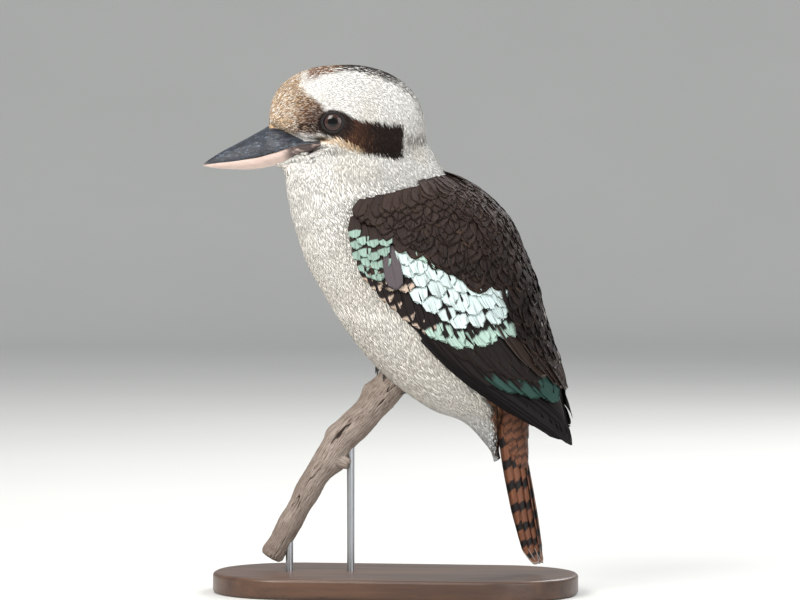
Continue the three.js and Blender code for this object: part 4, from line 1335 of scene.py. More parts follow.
@dataclass(frozen=True)
class Vanes:
    """Flat feathers, each a thin closed blade with a round, slightly frayed tip, worked out all at once."""

    steps: int = 14
    across: int = 7
    round_tip: float = 0.16
    fray: float = 0.03
    thick: float = 0.45

    def half_share(self, t: Array) -> Array:
        """Share of the full half width at t: it swells from the root and draws in a little at the tip."""
        swell = 0.5 + 0.5 * np.sin(np.minimum(t / 0.6, 1) * np.pi / 2)
        return swell * (1 - 0.18 * smooth(0.75, 1.05, t))

    def rings(
        self, place: Callable[[Array], tuple[Array, Array]], width: Array, camber: Array, tilt: Array,
        rng: np.random.Generator,
    ) -> tuple[Array, Array, Array]:
        """Rings of points round each feather.

        A point at t along the feather and w across it, from -1 to 1, lies on the middle line at t times one
        less round_tip times w squared, less a seeded fray for each barb. From there it goes w times the
        half width to the side, and camber times w squared down. The lower face lies under the upper one by
        the thickness times one less w squared, so the two meet at the edges.

        Args:
            place: Gives points and normals for places from 0 to 1, for all feathers.
            width: Full widths.
            camber: How far the edges droop.
            tilt: How far each right edge stands over the left one.
            rng: Draws the fray.

        Returns:
            Rings, and the places across and along at each point.
        """
        count = len(width)
        even = np.linspace(0, 1, self.steps)
        t = 0.45 * np.sin(even * np.pi / 2) + 0.55 * even
        w = np.linspace(-1, 1, self.across)
        frays = rng.uniform(-1, 0.6, (count, self.across)) * self.fray
        order = np.concatenate([np.arange(self.across), np.arange(self.across - 2, 0, -1)])
        under = np.concatenate([np.zeros(self.across), np.ones(self.across - 2)])
        w, frays = w[order], frays[:, order]
        reach = 1 - self.round_tip * w**2 + frays
        spots = t[None, :, None] * (1 + (reach[:, None] - 1) * smooth(0.3, 1, t)[None, :, None])
        middle, normal = (v.reshape(*spots.shape, 3) for v in place(spots.reshape(count, -1)))
        along = unit(np.gradient(middle, axis=1))
        side = unit(np.cross(normal, along))
        share = self.half_share(t)[None, :, None] * np.ones((count, 1, 1))
        half = width[:, None, None] / 2 * share
        droop, lean = camber[:, None, None], tilt[:, None, None]
        fall = -droop * w**2 * share - under * self.thick * (1 - w**2) + lean * w
        points = middle + side * (half * w)[..., None] + normal * fall[..., None]
        return points, np.broadcast_to(w, spots.shape), np.broadcast_to(t[None, :, None], spots.shape)

def add_vanes(
    body: Body, rings: tuple[Array, Array, Array], cells: Array, values: dict[str, Array],
    flip: Array | None = None, **spots: Array,
) -> None:
    """Adds feathers to a piece.

    Args:
        body: The piece.
        rings: What Vanes.rings() gave.
        cells: Lower corner and size of each feather's part of the OFBake map.
        values: Colours and numbers for each feather, by name.
        flip: -1 for each feather whose map named Vane is mirrored across, else 1.
        spots: Numbers for each point, by name.
    """
    points, w, t = rings
    made, faces = many_tubes(points)
    rows = {name: np.reshape(value, (len(w), 1, 1, -1)).astype(float) for name, value in values.items()}
    spread = {name: with_ends(np.broadcast_to(row, (*w.shape, row.shape[-1]))) for name, row in rows.items()}
    across = (w * (1 if flip is None else flip[:, None, None]) + 1) / 2
    corner = cells[:, None, None, :2] + cells[:, None, None, 2:] * stacked(t, (w + 1) / 2)
    spread |= {name: with_ends(value[..., None]) for name, value in spots.items()}
    body.add(made, faces, Vane=with_ends(stacked(across, t)), OFBake=with_ends(corner), **spread)


def sheet_cells(count: int, spare: float = 0.06) -> Array:
    """Squares of the OFBake map, one for each large feather, with room between them.

    Args:
        count: Number of feathers.
        spare: Share of a square left free.

    Returns:
        Lower corner and size of each part.
    """
    side = math.ceil(math.sqrt(count))
    i = np.arange(count)
    corner = np.stack([i % side, i // side], 1) / side
    inset = spare / side / 2
    return np.hstack([corner + inset, np.full((count, 2), 1 / side - 2 * inset)])


@dataclass(frozen=True)
class FeatherDye:
    """Colours of the feathers of one row: ground, tip patch, fringe, and where the patch starts."""

    ground: tuple[float, float, float]
    patch: tuple[float, float, float] = (240, 240, 238)
    rim: tuple[float, float, float] = (146, 122, 104)
    tip_from: float = 1.2
    fringe: float = 0.5
    frill: float = 0.0


class Tier(Enum):
    """The rows of a folded wing, lowest first."""

    PRIMARIES = "primaries"
    SECONDARIES = "secondaries"
    TERTIALS = "tertials"
    GREATER = "greater coverts"
    MEDIAN = "median coverts"
    LESSER = "lesser coverts"


BLACK = (27, 21, 20)
SEPIA = (44, 33, 28)
MINT = (172, 198, 186)
AQUA = (146, 172, 160)
ICE = (206, 222, 220)
TEAL = (44, 70, 64)
MOSS = (78, 94, 88)
SAND = (186, 166, 150)
RUST = (56, 45, 40)
LILAC = (84, 77, 80)


@dataclass(frozen=True)
class Row:
    """Feathers side by side on a folded wing, placed in the side view by their tips and their heading."""

    tier: Tier
    count: int
    tips: Sequence[Sequence[float]]
    length: tuple[float, float]
    heading: tuple[float, float]
    width: float
    lift: tuple[float, float]
    dye: FeatherDye
    front_dye: FeatherDye | None = None
    front: float = 0.0
    step: float = 0.3
    camber: float = 0.9

    def ends(self, rise: float, rng: np.random.Generator) -> tuple[Array, Array]:
        """Roots and tips of the feathers in the side view, a little uneven."""
        share = np.linspace(0, 1, self.count)
        tips = Track(self.tips).along(share) + rng.normal(0, 0.7, (self.count, 2))
        angle = np.radians(between(self.heading, share) + rng.normal(0, 1.2, self.count))
        way = np.stack([np.cos(angle), -np.sin(angle)], 1)
        roots = tips - way * between(self.length, share)[:, None]
        tips[:, 1] += rise * share**3
        return roots, tips


LONG_TIERS = (Tier.PRIMARIES, Tier.SECONDARIES, Tier.TERTIALS)
LONG_VANES = Vanes(steps=26, across=9, round_tip=0.1, fray=0.008)
COVERTS = Vanes(steps=20, across=15, round_tip=0.12)
SCAPULARS = Vanes(steps=11, across=9, round_tip=0.24, fray=0.02, thick=0.2)
WING_ROWS = [
    Row(
        Tier.PRIMARIES, 8, [[97, 124], [108, 115.5], [117, 109.5], [124, 104.5]], (88, 128), (39, 40),
        13.5, (-3.2, -1.9), FeatherDye((20, 16, 17), rim=(36, 30, 28), fringe=0.2), step=0.12
    ),
    Row(
        Tier.SECONDARIES, 9, [[64, 153], [84, 144.5], [100, 138.5], [114, 134]], (62, 60), (48, 52), 17,
        (-2.6, -0.6), FeatherDye(BLACK, TEAL, MOSS, 0.66, 0.1), FeatherDye(BLACK, rim=RUST, fringe=0.3),
        0.3, 0.12
    ),
    Row(
        Tier.SECONDARIES, 7, [[60, 163], [76, 156], [90, 150], [102, 147]], (48, 50), (50, 54), 16,
        (-2.3, 0.0), FeatherDye(BLACK, rim=RUST, fringe=0.6), step=0.12
    ),
    Row(
        Tier.TERTIALS, 5, [[101, 156], [109, 149], [115, 141], [117.5, 139]], (56, 60), (58, 62), 17,
        (-1.8, 0.7), FeatherDye(SEPIA, rim=(100, 92, 87), fringe=0.5), step=0.25, camber=1.4
    ),
    Row(
        Tier.GREATER, 7, [[-9, 214], [-1, 205], [7, 198], [15, 190.5], [25, 184], [33, 180]], (30, 32),
        (76, 68), 11.5, (-2.4, -0.2), FeatherDye(BLACK, SAND, SAND, 0.87, 0.1), step=0.08
    ),
    Row(
        Tier.GREATER, 8, [[38, 176], [48, 171.5], [58, 169.5], [69, 170.5], [79, 175.5], [87, 177.5]],
        (34, 34), (66, 58), 13, (-2.4, 0.2), FeatherDye(BLACK, MINT, MINT, 0.7, 0.2, 0.4), step=0.08
    ),
    Row(
        Tier.MEDIAN, 5, [[-10, 223], [-3, 215], [5, 209.5], [15, 208]], (24, 26), (78, 72), 11.5,
        (-2.3, 0.2), FeatherDye(BLACK, SAND, SAND, 0.89, 0.1), step=0.08
    ),
    Row(
        Tier.MEDIAN, 8,
        [[17, 207], [28, 198.5], [39, 191], [51, 185.5], [62, 182], [74, 185.5], [82, 189]], (28, 28),
        (74, 64), 13, (-2.2, 0.5), FeatherDye(BLACK, ICE, ICE, 0.6, 0.2, 0.45),
        FeatherDye(BLACK, SAND, SAND, 0.84, 0.1), 0.1, 0.06
    ),
    Row(
        Tier.MEDIAN, 8, [[20, 216], [32, 207], [45, 199], [57, 193.5], [69, 194.5], [81, 198]], (27, 27),
        (74, 64), 13, (-2.1, 0.8), FeatherDye(BLACK, ICE, ICE, 0.45, 0.2, 0.45), step=0.06
    ),
    Row(
        Tier.MEDIAN, 8, [[17, 225], [30, 217.5], [43, 211], [56, 206], [69, 203.5], [79, 203]], (26, 26),
        (74, 64), 13, (-2.1, 0.9), FeatherDye(BLACK, ICE, ICE, 0.5, 0.2, 0.4), step=0.06
    ),
    Row(
        Tier.MEDIAN, 6, [[14, 233], [28, 227.5], [43, 221], [57, 215]], (24, 24), (74, 64), 12,
        (-2.1, 0.9), FeatherDye(SEPIA, MINT, MINT, 0.6, 0.2, 0.4), step=0.06
    ),
    *(
        Row(Tier.LESSER, 4, tips, (long, long), (way, way - 8), 9.5, lift,
            FeatherDye(SEPIA, AQUA, AQUA, *dye), step=0.08)
        for tips, long, way, lift, dye in (
            ([[-13, 220], [-7, 216], [-2, 214.5], [4, 216]], 18, 80, (-2.0, 0.7), (0.66, 0.2, 0.4)),
            ([[-17, 228], [-10, 223.5], [-3, 221.5], [4, 223]], 17, 80, (-1.8, 1.0), (0.64, 0.2, 0.4)),
            ([[-19, 236], [-12, 231], [-5, 229.5], [2, 231]], 16, 82, (-1.6, 1.3), (0.64, 0.2, 0.4)),
            ([[-19.5, 244], [-13, 239], [-6, 237.5], [2, 238]], 15, 82, (-1.5, 1.5), (0.66, 0.2, 0.4)),
        )
    ),
    Row(
        Tier.LESSER, 1, [[9, 209], [10, 208]], (30, 30), (78, 78), 12.5, (-0.6, 1.9),
        FeatherDye(LILAC, LILAC, (92, 86, 88), 1.6, 0.05), camber=1.6
    ),
]


@dataclass
class Wing:
    """One folded wing: a dark blade under its tiers of feathers, with the scapulars over them."""

    hand: int
    tip_rise: float = 15.0
    blade_top: float = -2.9
    blade_root: float = -8.0
    blade_thick: float = 1.4
    scapular_gap: float = 0.105
    scapular_run: tuple[float, float] = (-0.9, 5.9)
    scapular_step: tuple[float, float] = (0.15, 0.03)
    scapular_reach: float = 2.2
    lower_edge: tuple[Sequence[float], Sequence[float]] = (
        (-26, -20, -9, 14, 36, 57, 80, 88, 96, 108), (262, 254, 244, 231, 221, 209, 194, 176, 160, 146),
    )
    white_marks: Sequence[tuple[float, float]] = ((94, 208), (104, 180))
    edge: Track = field(default_factory=lambda: Track([
        [-20, 254], [-23, 239], [-16.5, 219.5], [-1, 199], [18, 180.5], [42, 160], [69, 138], [94, 120],
        [121.5, 106.5],
    ]))
    top: Track = field(default_factory=lambda: Track([[v] for v in (25, 18, 15, 14, 14, 15, 16, 18, 40)]))

    def normal(self, s: Array, a: Array, lift: Array) -> Array:
        """Outward unit normals of the roof, from small steps along it and round it."""
        along = roof_point(s + 0.02, a, lift, self.hand) - roof_point(s - 0.02, a, lift, self.hand)
        round_ = roof_point(s, a + 0.02, lift, self.hand) - roof_point(s, a - 0.02, lift, self.hand)
        return unit(np.cross(along, round_)) * -self.hand

    def placer(self, roots: Array, tips: Array, lift: Array) -> Callable[[Array], tuple[Array, Array]]:
        """A function that places feathers on the roof.

        Args:
            roots: (station, angle) of each root.
            tips: (station, angle) of each tip.
            lift: Heights of root and tip of each feather.

        Returns:
            For places along the feathers, their points and normals.
        """

        def place(t: Array) -> tuple[Array, Array]:
            """Goes straight from root to tip in station and angle."""
            s, a = (between((roots[:, n : n + 1], tips[:, n : n + 1]), t) for n in range(2))
            up = between((lift[:, :1], lift[:, 1:]), t**0.85)
            return roof_point(s, a, up, self.hand), self.normal(s, a, up)

        return place

    def blade(self, body: Body) -> None:
        """The dark blade: a plate on the trunk's side, from the wing's lower edge to near the back line."""
        share = np.linspace(0, 1, 60)
        x, z = self.edge.along(share).T
        rise = self.tip_rise * 0.6 if self.hand == FAR else 0
        s, low = roof_place(x, z + rise * share**2)
        high = np.radians(self.top.along(share)[:, 0])
        free = smooth(0.45, 0.8, share)
        v = np.linspace(0.03, 1, 20)
        a = between((low[:, None], high[:, None]), v)
        station = np.broadcast_to(s[:, None], a.shape)
        outer = roof_point(station, a, np.full(a.shape, self.blade_top), self.hand)
        under = between((self.blade_root, self.blade_top - self.blade_thick), free)
        inner = roof_point(station, a, np.broadcast_to(under[:, None], a.shape), self.hand)
        points, faces = closed_tube(np.concatenate([outer, inner[:, ::-1]], 1))
        count = len(points)
        plain = {name: np.broadcast_to(srgb(*BLACK), (count, 3)) for name in ("Ground", "Patch", "Rim")}
        uv = stacked(np.clip(points[:, 0] / 160 + 0.3, 0, 1), np.clip(points[:, 2] / 200 - 0.45, 0, 1))
        still = np.zeros((count, 1))
        body.add(points, faces, Vane=np.full((count, 2), 0.3), OFBake=uv * 0.02, Own=still, TipFrom=still + 2,
                 Fringe=still, Frill=still, **plain)

    def dyes(self, row: Row, rng: np.random.Generator) -> dict[str, Array]:
        """Values for each feather of a row, with the front dye up to its share of the row."""
        front = (np.linspace(0, 1, row.count) < row.front)[:, None]
        first = row.front_dye or row.dye

        def pick(name: str) -> Array:
            """One colour or number of the two dyes, for each feather."""
            a, b = getattr(row.dye, name), getattr(first, name)
            if isinstance(a, tuple):
                return np.where(front, srgb(*b), srgb(*a)) * rng.uniform(0.9, 1.1, (row.count, 1))
            return np.where(front, b, a) + rng.normal(0, 0.02, (row.count, 1))

        return {
            "Ground": pick("ground"), "Patch": pick("patch"), "Rim": pick("rim"), "TipFrom": pick("tip_from"),
            "Fringe": pick("fringe"), "Frill": pick("frill"), "Own": rng.uniform(0, 1, (row.count, 1)),
        }

    def flight(self, finish: Material) -> None:
        """Makes the blade and every row of flight feathers and coverts as one piece."""
        rng = np.random.default_rng(11 + self.hand)
        body = Body()
        self.blade(body)
        cells = sheet_cells(sum(row.count for row in WING_ROWS) + 8)
        used = 8
        for row in WING_ROWS:
            rise = self.tip_rise if self.hand == FAR and row.tier is Tier.PRIMARIES else 0
            roots, tips = row.ends(rise, rng)
            roots = np.stack(roof_place(*roots.T), 1)
            tips = np.stack(roof_place(*tips.T), 1)
            stack = row.step * (np.linspace(0, 1, row.count) - 0.5)[:, None] * row.count / 3
            lift = np.array(row.lift)[None] + stack + rng.normal(0, 0.06, (row.count, 1))
            place = self.placer(roots, tips, lift)
            width = row.width * rng.uniform(0.93, 1.07, row.count)
            covert = replace(COVERTS, fray=0.02 + 0.03 * row.dye.frill)
            fine = LONG_VANES if row.tier in LONG_TIERS else covert
            camber, tilt = np.full(row.count, row.camber), np.full(row.count, 0.25 * self.hand)
            rings = fine.rings(place, width, camber, tilt, rng)
            add_vanes(body, rings, cells[used : used + row.count], self.dyes(row, rng))
            used += row.count
        side = SIDES[self.hand]
        body.wear(f"wing_feathers_{side}", finish, "plumage", f"wing_{side}")

    def scapular_roots(self, rng: np.random.Generator) -> Array:
        """Stations and angles of the scapulars' roots: rows down the back, each shifted by half a gap."""
        spots = []
        s, number = self.scapular_run[0], 0
        while s < self.scapular_run[1]:
            gap = self.scapular_gap * (1 + 0.2 * max(s, 0))
            angles = np.arange(0.02 + gap / 2 * (number % 2), self.scapular_reach, gap)
            spots.append(stacked(s, angles))
            s += self.scapular_step[0] + self.scapular_step[1] * max(s, 0)
            number += 1
        root = np.concatenate(spots)
        root = root + rng.normal(0, 0.012, root.shape)
        root[:, 1] = np.maximum(root[:, 1], 0.01)
        return root

    def scapulars(self, finish: Material) -> None:
        """Mantle and scapulars of one side, from collar to coverts, larger and darker further down."""
        rng = np.random.default_rng(31 + self.hand)
        root = self.scapular_roots(rng)
        grow = np.clip((root[:, 0] + 0.4) / 4, 0, 1)
        length = 12 + 17 * grow
        onward = (ROOF.at(root[:, 0] + 0.5) - ROOF.at(root[:, 0]))[:, :4].reshape(-1, 2, 2).mean(1)
        step = np.linalg.norm(onward, axis=1)
        way = np.stack([length / step / 2, 0.06 + 0.14 * np.sin(np.clip(root[:, 1], 0, np.pi / 2))], 1)
        tip = root + way * rng.uniform(0.85, 1.15, (len(root), 1)) + rng.normal(0, 0.02, root.shape)
        ends = [roof_point(*place.T, np.zeros(len(place)), self.hand) for place in (root, tip)]
        starts, stops = (np.stack(seen_from_side(points), 1) for points in ends)
        low = np.interp(ends[1][:, 0], *self.lower_edge)
        kept = (starts[:, 1] < collar_height(starts[:, 0]) + 1) & (starts[:, 0] > -27) & (stops[:, 1] > low)
        root, tip, grow, length, starts = root[kept], tip[kept], grow[kept], length[kept], starts[kept]
        count = len(root)
        lift = np.stack([np.full(count, -1.2), 1.35 + 0.3 * grow], 1) + rng.normal(0, 0.08, (count, 1))
        lift[:, 0] -= 3.0 * smooth(9, 1, collar_height(starts[:, 0]) - starts[:, 1])
        width = (10.5 + 8 * grow) * rng.uniform(0.85, 1.15, count)
        tilt = rng.normal(0, 0.07, count)
        rings = SCAPULARS.rings(self.placer(root, tip, lift), width, 0.8 + 0.6 * grow, tilt, rng)
        dark = np.clip(grow * 0.8 + rng.uniform(-0.3, 0.3, count), 0, 1)
        ground = blend(PLUMAGE.mantle, srgb(*BLACK), dark)
        rim = blend(srgb(88, 70, 60), srgb(62, 46, 38), grow)
        rim = rim * rng.uniform(0.7, 1.1, (count, 1))
        back = smooth(0.5, 0.2, root[:, 1]) * smooth(1.5, 3, root[:, 0])
        rim = blend(rim, srgb(104, 92, 84), 0.6 * back)
        fringe = 0.45 * rng.uniform(0.2, 1.2, (count, 1))
        for along, up in self.white_marks:
            marked = np.argmin(np.hypot(starts[:, 0] - along, starts[:, 1] - up))
            rim[marked], fringe[marked] = srgb(176, 168, 160), 0.75
        body = Body()
        values = {
            "Ground": ground, "Patch": ground, "Rim": rim, "TipFrom": np.full(count, 1.6), "Fringe": fringe,
            "Frill": np.zeros(count), "Own": rng.uniform(0, 1, (count, 1)),
        }
        add_vanes(body, rings, sheet_cells(count), values)
        body.wear(f"scapulars_{SIDES[self.hand]}", finish, "plumage")

    def build(self, finish: Material) -> None:
        """Makes the wing's pieces."""
        self.flight(finish)
        self.scapulars(finish)


@dataclass
class Tail:
    """The closed tail: barred feathers stacked like a roof under a ridge, and coverts over its root."""

    root: tuple[float, float] = (84.2, 128)
    tip: tuple[float, float] = (101.9, 21.5)
    pairs: int = 7
    middle_pairs: int = 2
    arch: tuple[float, float] = (12.5, 8)
    width: float = 16.6
    feathers: Vanes = Vanes(steps=56, across=9, round_tip=0.09, fray=0.006, thick=0.4)
    coverts: Vanes = Vanes(steps=16, across=9, round_tip=0.16, fray=0.05, thick=0.3)
    covert_rows: Sequence[tuple[float, float, int]] = (
        (-0.06, 0.34, 13), (0.12, 0.5, 12), (0.3, 0.66, 11), (0.45, 0.86, 9),
    )
    bars: Sequence[tuple[float, float]] = (
        (-20, -2.8), (4, -1.3), (32, 0.5), (47, 1.5), (62.5, 2.5), (76.3, 3.5), (88.8, 4.5), (98.7, 5.5),
        (112, 6.8),
    )
    stations: Track = field(default_factory=lambda: Track([
        [79.5, 136, 10.8, 13], [80.5, 118, 10.6, 13], [82, 104, 8.8, 11.8], [85, 90, 5.6, 9.4],
        [88.5, 78, 2.2, 5],
    ]))

    def reach(self, down: Array) -> Array:
        """Distances down the tail counted in bars, closer towards the tip. A bar's middle is at a half."""
        marks = np.array(self.bars)
        return np.interp(down, marks[:, 0], marks[:, 1])

    def lie(self) -> tuple[Array, Array, float]:
        """The way along the ridge, the way out of it at the back, and its length."""
        run = np.array([self.tip[0] - self.root[0], 0, self.tip[1] - self.root[1]])
        full = float(np.linalg.norm(run))
        along = run / full
        return along, np.array([-along[2], 0, along[0]]), full

    def placer(self, far: tuple[Array, Array], tilt: Array, inset: Array, hand: int) -> Callable:
        """A function that places tail feathers on the arch.

        At a distance down the ridge the arch has a radius, and a feather lies on it at its tilt from the
        ridge.

        Args:
            far: Distances of roots and tips down the ridge.
            tilt: Angle of each feather from the ridge.
            inset: How far root and tip lie under the arch.
            hand: Side of the bird.

        Returns:
            For places along the feathers, their points and normals.
        """
        along, back, full = self.lie()
        start = np.array([self.root[0], 0, self.root[1]])

        def place(t: Array) -> tuple[Array, Array]:
            """Points and normals at places along the feathers."""
            down = between((far[0][:, None], far[1][:, None]), t)
            arch = between(self.arch, np.clip(down / full, 0, 1))
            radius = arch - between((inset[:, :1], inset[:, 1:]), t)
            out = (radius * np.cos(tilt)[:, None] - arch)[..., None]
            middle = start + along * down[..., None] + back * out
            middle = middle + np.array([0, hand, 0]) * (radius * np.sin(tilt)[:, None])[..., None]
            normal = back * np.cos(tilt)[:, None, None] + np.array([0, hand, 0]) * np.sin(tilt)[:, None, None]
            return middle, np.broadcast_to(normal, middle.shape)

        return place

    def flesh_point(self, share: Array, a: Array, lift: Array) -> Array:
        """Points round the tail's root: an oval at each share down it, wider each way by the lift."""
        row = self.stations.along(share)
        x = row[..., 0] + (row[..., 2] + lift) * np.cos(a)
        z = row[..., 1] + 0.2 * (row[..., 2] + lift) * np.cos(a)
        return stacked(x, (row[..., 3] + lift) * np.sin(a), z)

    def covert_placer(self, share: tuple[Array, Array], a: Array, lift: tuple[float, float]) -> Callable:
        """A function that places coverts on the tail's root.

        Args:
            share: Shares down the root of the coverts' own roots and tips.
            a: Angle of each covert, 0 at the back.
            lift: Heights of root and tip.

        Returns:
            For places along the coverts, their points and normals.
        """

        def place(t: Array) -> tuple[Array, Array]:
            """Points and normals at places along the coverts."""
            down = between((share[0][:, None], share[1][:, None]), t)
            up = between(lift, t)
            point = self.flesh_point(down, a[:, None], up)
            return point, unit(point - self.flesh_point(down, a[:, None], up - 1))

        return place

    def flesh(self, body: Body) -> None:
        """The root of the tail, a tapering oval under the coverts."""
        share, a = np.meshgrid(np.linspace(0, 1, 24), turns(28), indexing="ij")
        points, faces = closed_tube(self.flesh_point(share, a, np.full(share.shape, -0.6)))
        count = len(points)
        still = np.zeros((count, 1))
        body.add(points, faces, Vane=np.full((count, 2), 0.4), OFBake=np.full((count, 2), 0.01), Own=still,
                 Fringe=still, Inner=still, Tip=still, Reach=self.reach(128 - points[:, 2:3]))

    def add(
        self, body: Body, rings: tuple[Array, Array, Array], cells: Array, flip: Array, bars: float,
        rng: np.random.Generator, **marks: Array,
    ) -> None:
        """Adds feathers with their own numbers, and their distance down the tail in bars.

        Args:
            body: The piece.
            rings: What Vanes.rings() gave.
            cells: Each feather's part of the OFBake map.
            flip: 1 or -1 for each feather, so that the shaft always lies towards the ridge.
            bars: How many times closer the bars stand than on the tail feathers.
            rng: Draws the feathers' own numbers.
            marks: A number for each feather, by name.
        """
        along, _, _ = self.lie()
        start = np.array([self.root[0], 0, self.root[1]])
        reach = self.reach((rings[0] - start) @ along) * bars
        values = {**marks, "Own": rng.uniform(0, 1, len(flip))}
        add_vanes(body, rings, cells, values, flip, Reach=reach)

    def build(self, finish: Material) -> None:
        """Makes the piece."""
        rng = np.random.default_rng(51)
        body = Body()
        self.flesh(body)
        _, _, full = self.lie()
        cells = sheet_cells(2 * self.pairs + sum(count for *_, count in self.covert_rows) + 1)
        used = 1
        pair = np.arange(self.pairs)
        order = np.maximum(pair - self.middle_pairs, 0)
        is_middle = pair < self.middle_pairs
        for hand in (NEAR, FAR):
            tilt = np.radians(np.where(is_middle, 13 + 25 * pair, 62 + 2.8 * order))
            ends = full - 2.4 * order + rng.normal(0, 0.5, self.pairs)
            under = 0.35 * pair * is_middle + 0.45 * (hand == FAR) * is_middle
            inset = np.where(is_middle, under, [0.5 * order + 0.8, 0.62 * order]).T
            place = self.placer((np.full(self.pairs, -12.0), ends), tilt, inset, hand)
            camber = np.where(is_middle, 2.0, 3.0 - 0.2 * order)
            width = self.width - 0.4 * order
            rings = self.feathers.rings(place, width, camber, np.zeros(self.pairs), rng)
            flip = np.full(self.pairs, -hand)
            marks = {"Fringe": order > 3, "Inner": pair == self.middle_pairs, "Tip": np.ones(self.pairs)}
            self.add(body, rings, cells[used : used + self.pairs], flip, 1, rng, **marks)
            used += self.pairs
        for begin, end, count in self.covert_rows:
            a = (np.arange(count) + 0.5 * (used % 2)) / count * 2 * np.pi + rng.normal(0, 0.05, count)
            shares = (np.full(count, begin), end + rng.normal(0, 0.02, count))
            place = self.covert_placer(shares, a, (-0.4, 0.9))
            plain = np.zeros(count)
            rings = self.coverts.rings(place, plain + 9, plain + 1.3, plain, rng)
            marks = dict.fromkeys(("Fringe", "Inner", "Tip"), plain)
            self.add(body, rings, cells[used : used + count], np.ones(count), 2.5, rng, **marks)
            used += count
        body.wear("tail_feathers", finish, "plumage", "tail")


@dataclass
class Bill:
    """The two halves of the bill, which meet at the mouth line."""

    nostril: tuple[float, float] = (-79.5, 311.0)
    gap: float = 0.3

    def half(self, is_upper: bool, finish: Material, node: str) -> None:
        """Makes one half.

        At each station a half oval stands on the mouth line: its height is the sine of the angle to a
        power, times the distance to the culmen or the keel. The upper half has a ridge along the culmen and
        a furrow over its cutting edge, with a slit on each side for the nostril.

        Args:
            is_upper: Whether it is the upper half.
            finish: Its material.
            node: The CAD node it stands for.
        """
        share = np.linspace(0, 1, 150)
        x, culmen, mouth, keel, half = BILL.along(share).T
        sign = 1 if is_upper else -1
        tall = (culmen - mouth) if is_upper else (mouth - keel)
        a = np.linspace(0, np.pi, 49)
        rise = np.sin(a) ** (UPPER_POWER if is_upper else LOWER_POWER)
        width = half * (1.0 if is_upper else 0.95)
        y = -np.cos(a)[None] * width[:, None]
        up = rise[None] * tall[:, None]
        if is_upper:
            ridge = 0.35 * np.exp(-((a - np.pi / 2) / 0.16) ** 2) * smooth(0.05, 0.3, share)[:, None]
            beside = np.abs(a - np.pi / 2)
            furrow = 0.28 * np.exp(-((beside - 1.05) / 0.14) ** 2) * smooth(0.1, 0.4, share)[:, None]
            off_x, off_z = x[:, None] - self.nostril[0], up + mouth[:, None] - self.nostril[1]
            slit = 1.3 * smooth(1.15, 0.5, np.hypot(off_x / 3.4, off_z / 1.1))
            up = up + ridge - furrow
            y = y - np.sign(y) * slit
        z = mouth[:, None] + sign * (up + self.gap / 2)
        across = np.linspace(1, -1, 17)[1:-1]
        inner_y = across[None] * width[:, None]
        inner_z = mouth[:, None] + sign * (self.gap / 2 + 0.1 * tall[:, None] * (1 - across[None] ** 2))
        points_y = np.concatenate([y, inner_y], 1)
        points_z = np.concatenate([z, inner_z], 1)
        rings = stacked(x[:, None], points_y, points_z)
        points, faces = closed_tube(rings)
        back = np.concatenate([np.repeat(share, rings.shape[1]), [0, 1]])[:, None]
        stain = np.full((len(points), 1), 0.0 if is_upper else 1.0)
        Body().add(points, faces, Back=back, Stain=stain).wear(node + "_horn", finish, "bill", node)

    def build(self) -> None:
        """Makes both halves."""
        upper = BillFinish("upper_horn", (26, 30, 38), (122, 132, 148), (30, 34, 40), 0.75, 2.2)
        lower = BillFinish("lower_horn", (206, 182, 172), (226, 212, 202), (74, 60, 60), 0.5, 1.1)
        self.half(True, upper.make(), "bill_upper")
        self.half(False, lower.make(), "bill_lower")


@dataclass
class Eyes:
    """Eyeballs and the dark bare lids round them."""

    x: float = -38.0
    y: float = 25.3
    z: float = 321.0
    radius: float = 8.5
    opening: float = 6.2

    def ball(self, hand: int, finish: Material) -> None:
        """A sphere round the way out of the head, flatter over the iris."""
        polar = np.linspace(0.02, np.pi - 0.02, 64)
        a = turns(72)
        dome = self.radius - 1.0 * np.exp(-((polar / 0.6) ** 2))
        out = dome * np.cos(polar)
        off = dome * np.sin(polar)
        x = self.x + off[:, None] * np.cos(a)
        z = self.z + off[:, None] * np.sin(a)
        points, faces = closed_tube(stacked(x, hand * (self.y + out[:, None]), z))
        distance = np.hypot(points[:, 0] - self.x, points[:, 2] - self.z)
        distance = np.where(points[:, 1] * hand > self.y, distance, 9)[:, None]
        side = SIDES[hand]
        Body().add(points, faces, Off=distance).wear(f"eyeball_{side}", finish, "eyes", f"eye_{side}")

    def lid(self, hand: int, finish: Material) -> None:
        """A soft ring on the ball: its section is an oval that widens into the corners, before and behind."""
        a, b = turns(96), turns(16)
        corner = 0.5 * np.abs(np.cos(a)) ** 6
        ring = self.opening + 0.7 + corner + 0.06 * np.sin(9 * a)
        squash = 0.95 - 0.03 * np.sin(a)
        out = self.y + np.sqrt(np.maximum(self.radius**2 - (self.opening + 0.3) ** 2, 0)) + 0.5
        r = ring[:, None] + (0.75 + 0.4 * corner[:, None]) * np.cos(b)
        x = self.x + r * np.cos(a)[:, None]
        z = self.z + r * np.sin(a)[:, None] * squash[:, None]
        y = hand * (out + 0.85 * np.sin(b)[None] - 0.35 * corner[:, None])
        points = stacked(x, y, z).reshape(1, -1, 3)
        faces = facing_out(points, wall_faces(len(a), len(b), is_ring=True))
        Body().add(points, faces).wear(f"lids_{SIDES[hand]}", finish, "legs")

    def build(self) -> None:
        """Makes both eyes."""
        ball, lid = EyeFinish().make(), HideFinish("lid_skin", (17, 14, 14), 2200, 0.7).make()
        for hand in (NEAR, FAR):
            self.ball(hand, ball)
            self.lid(hand, lid)


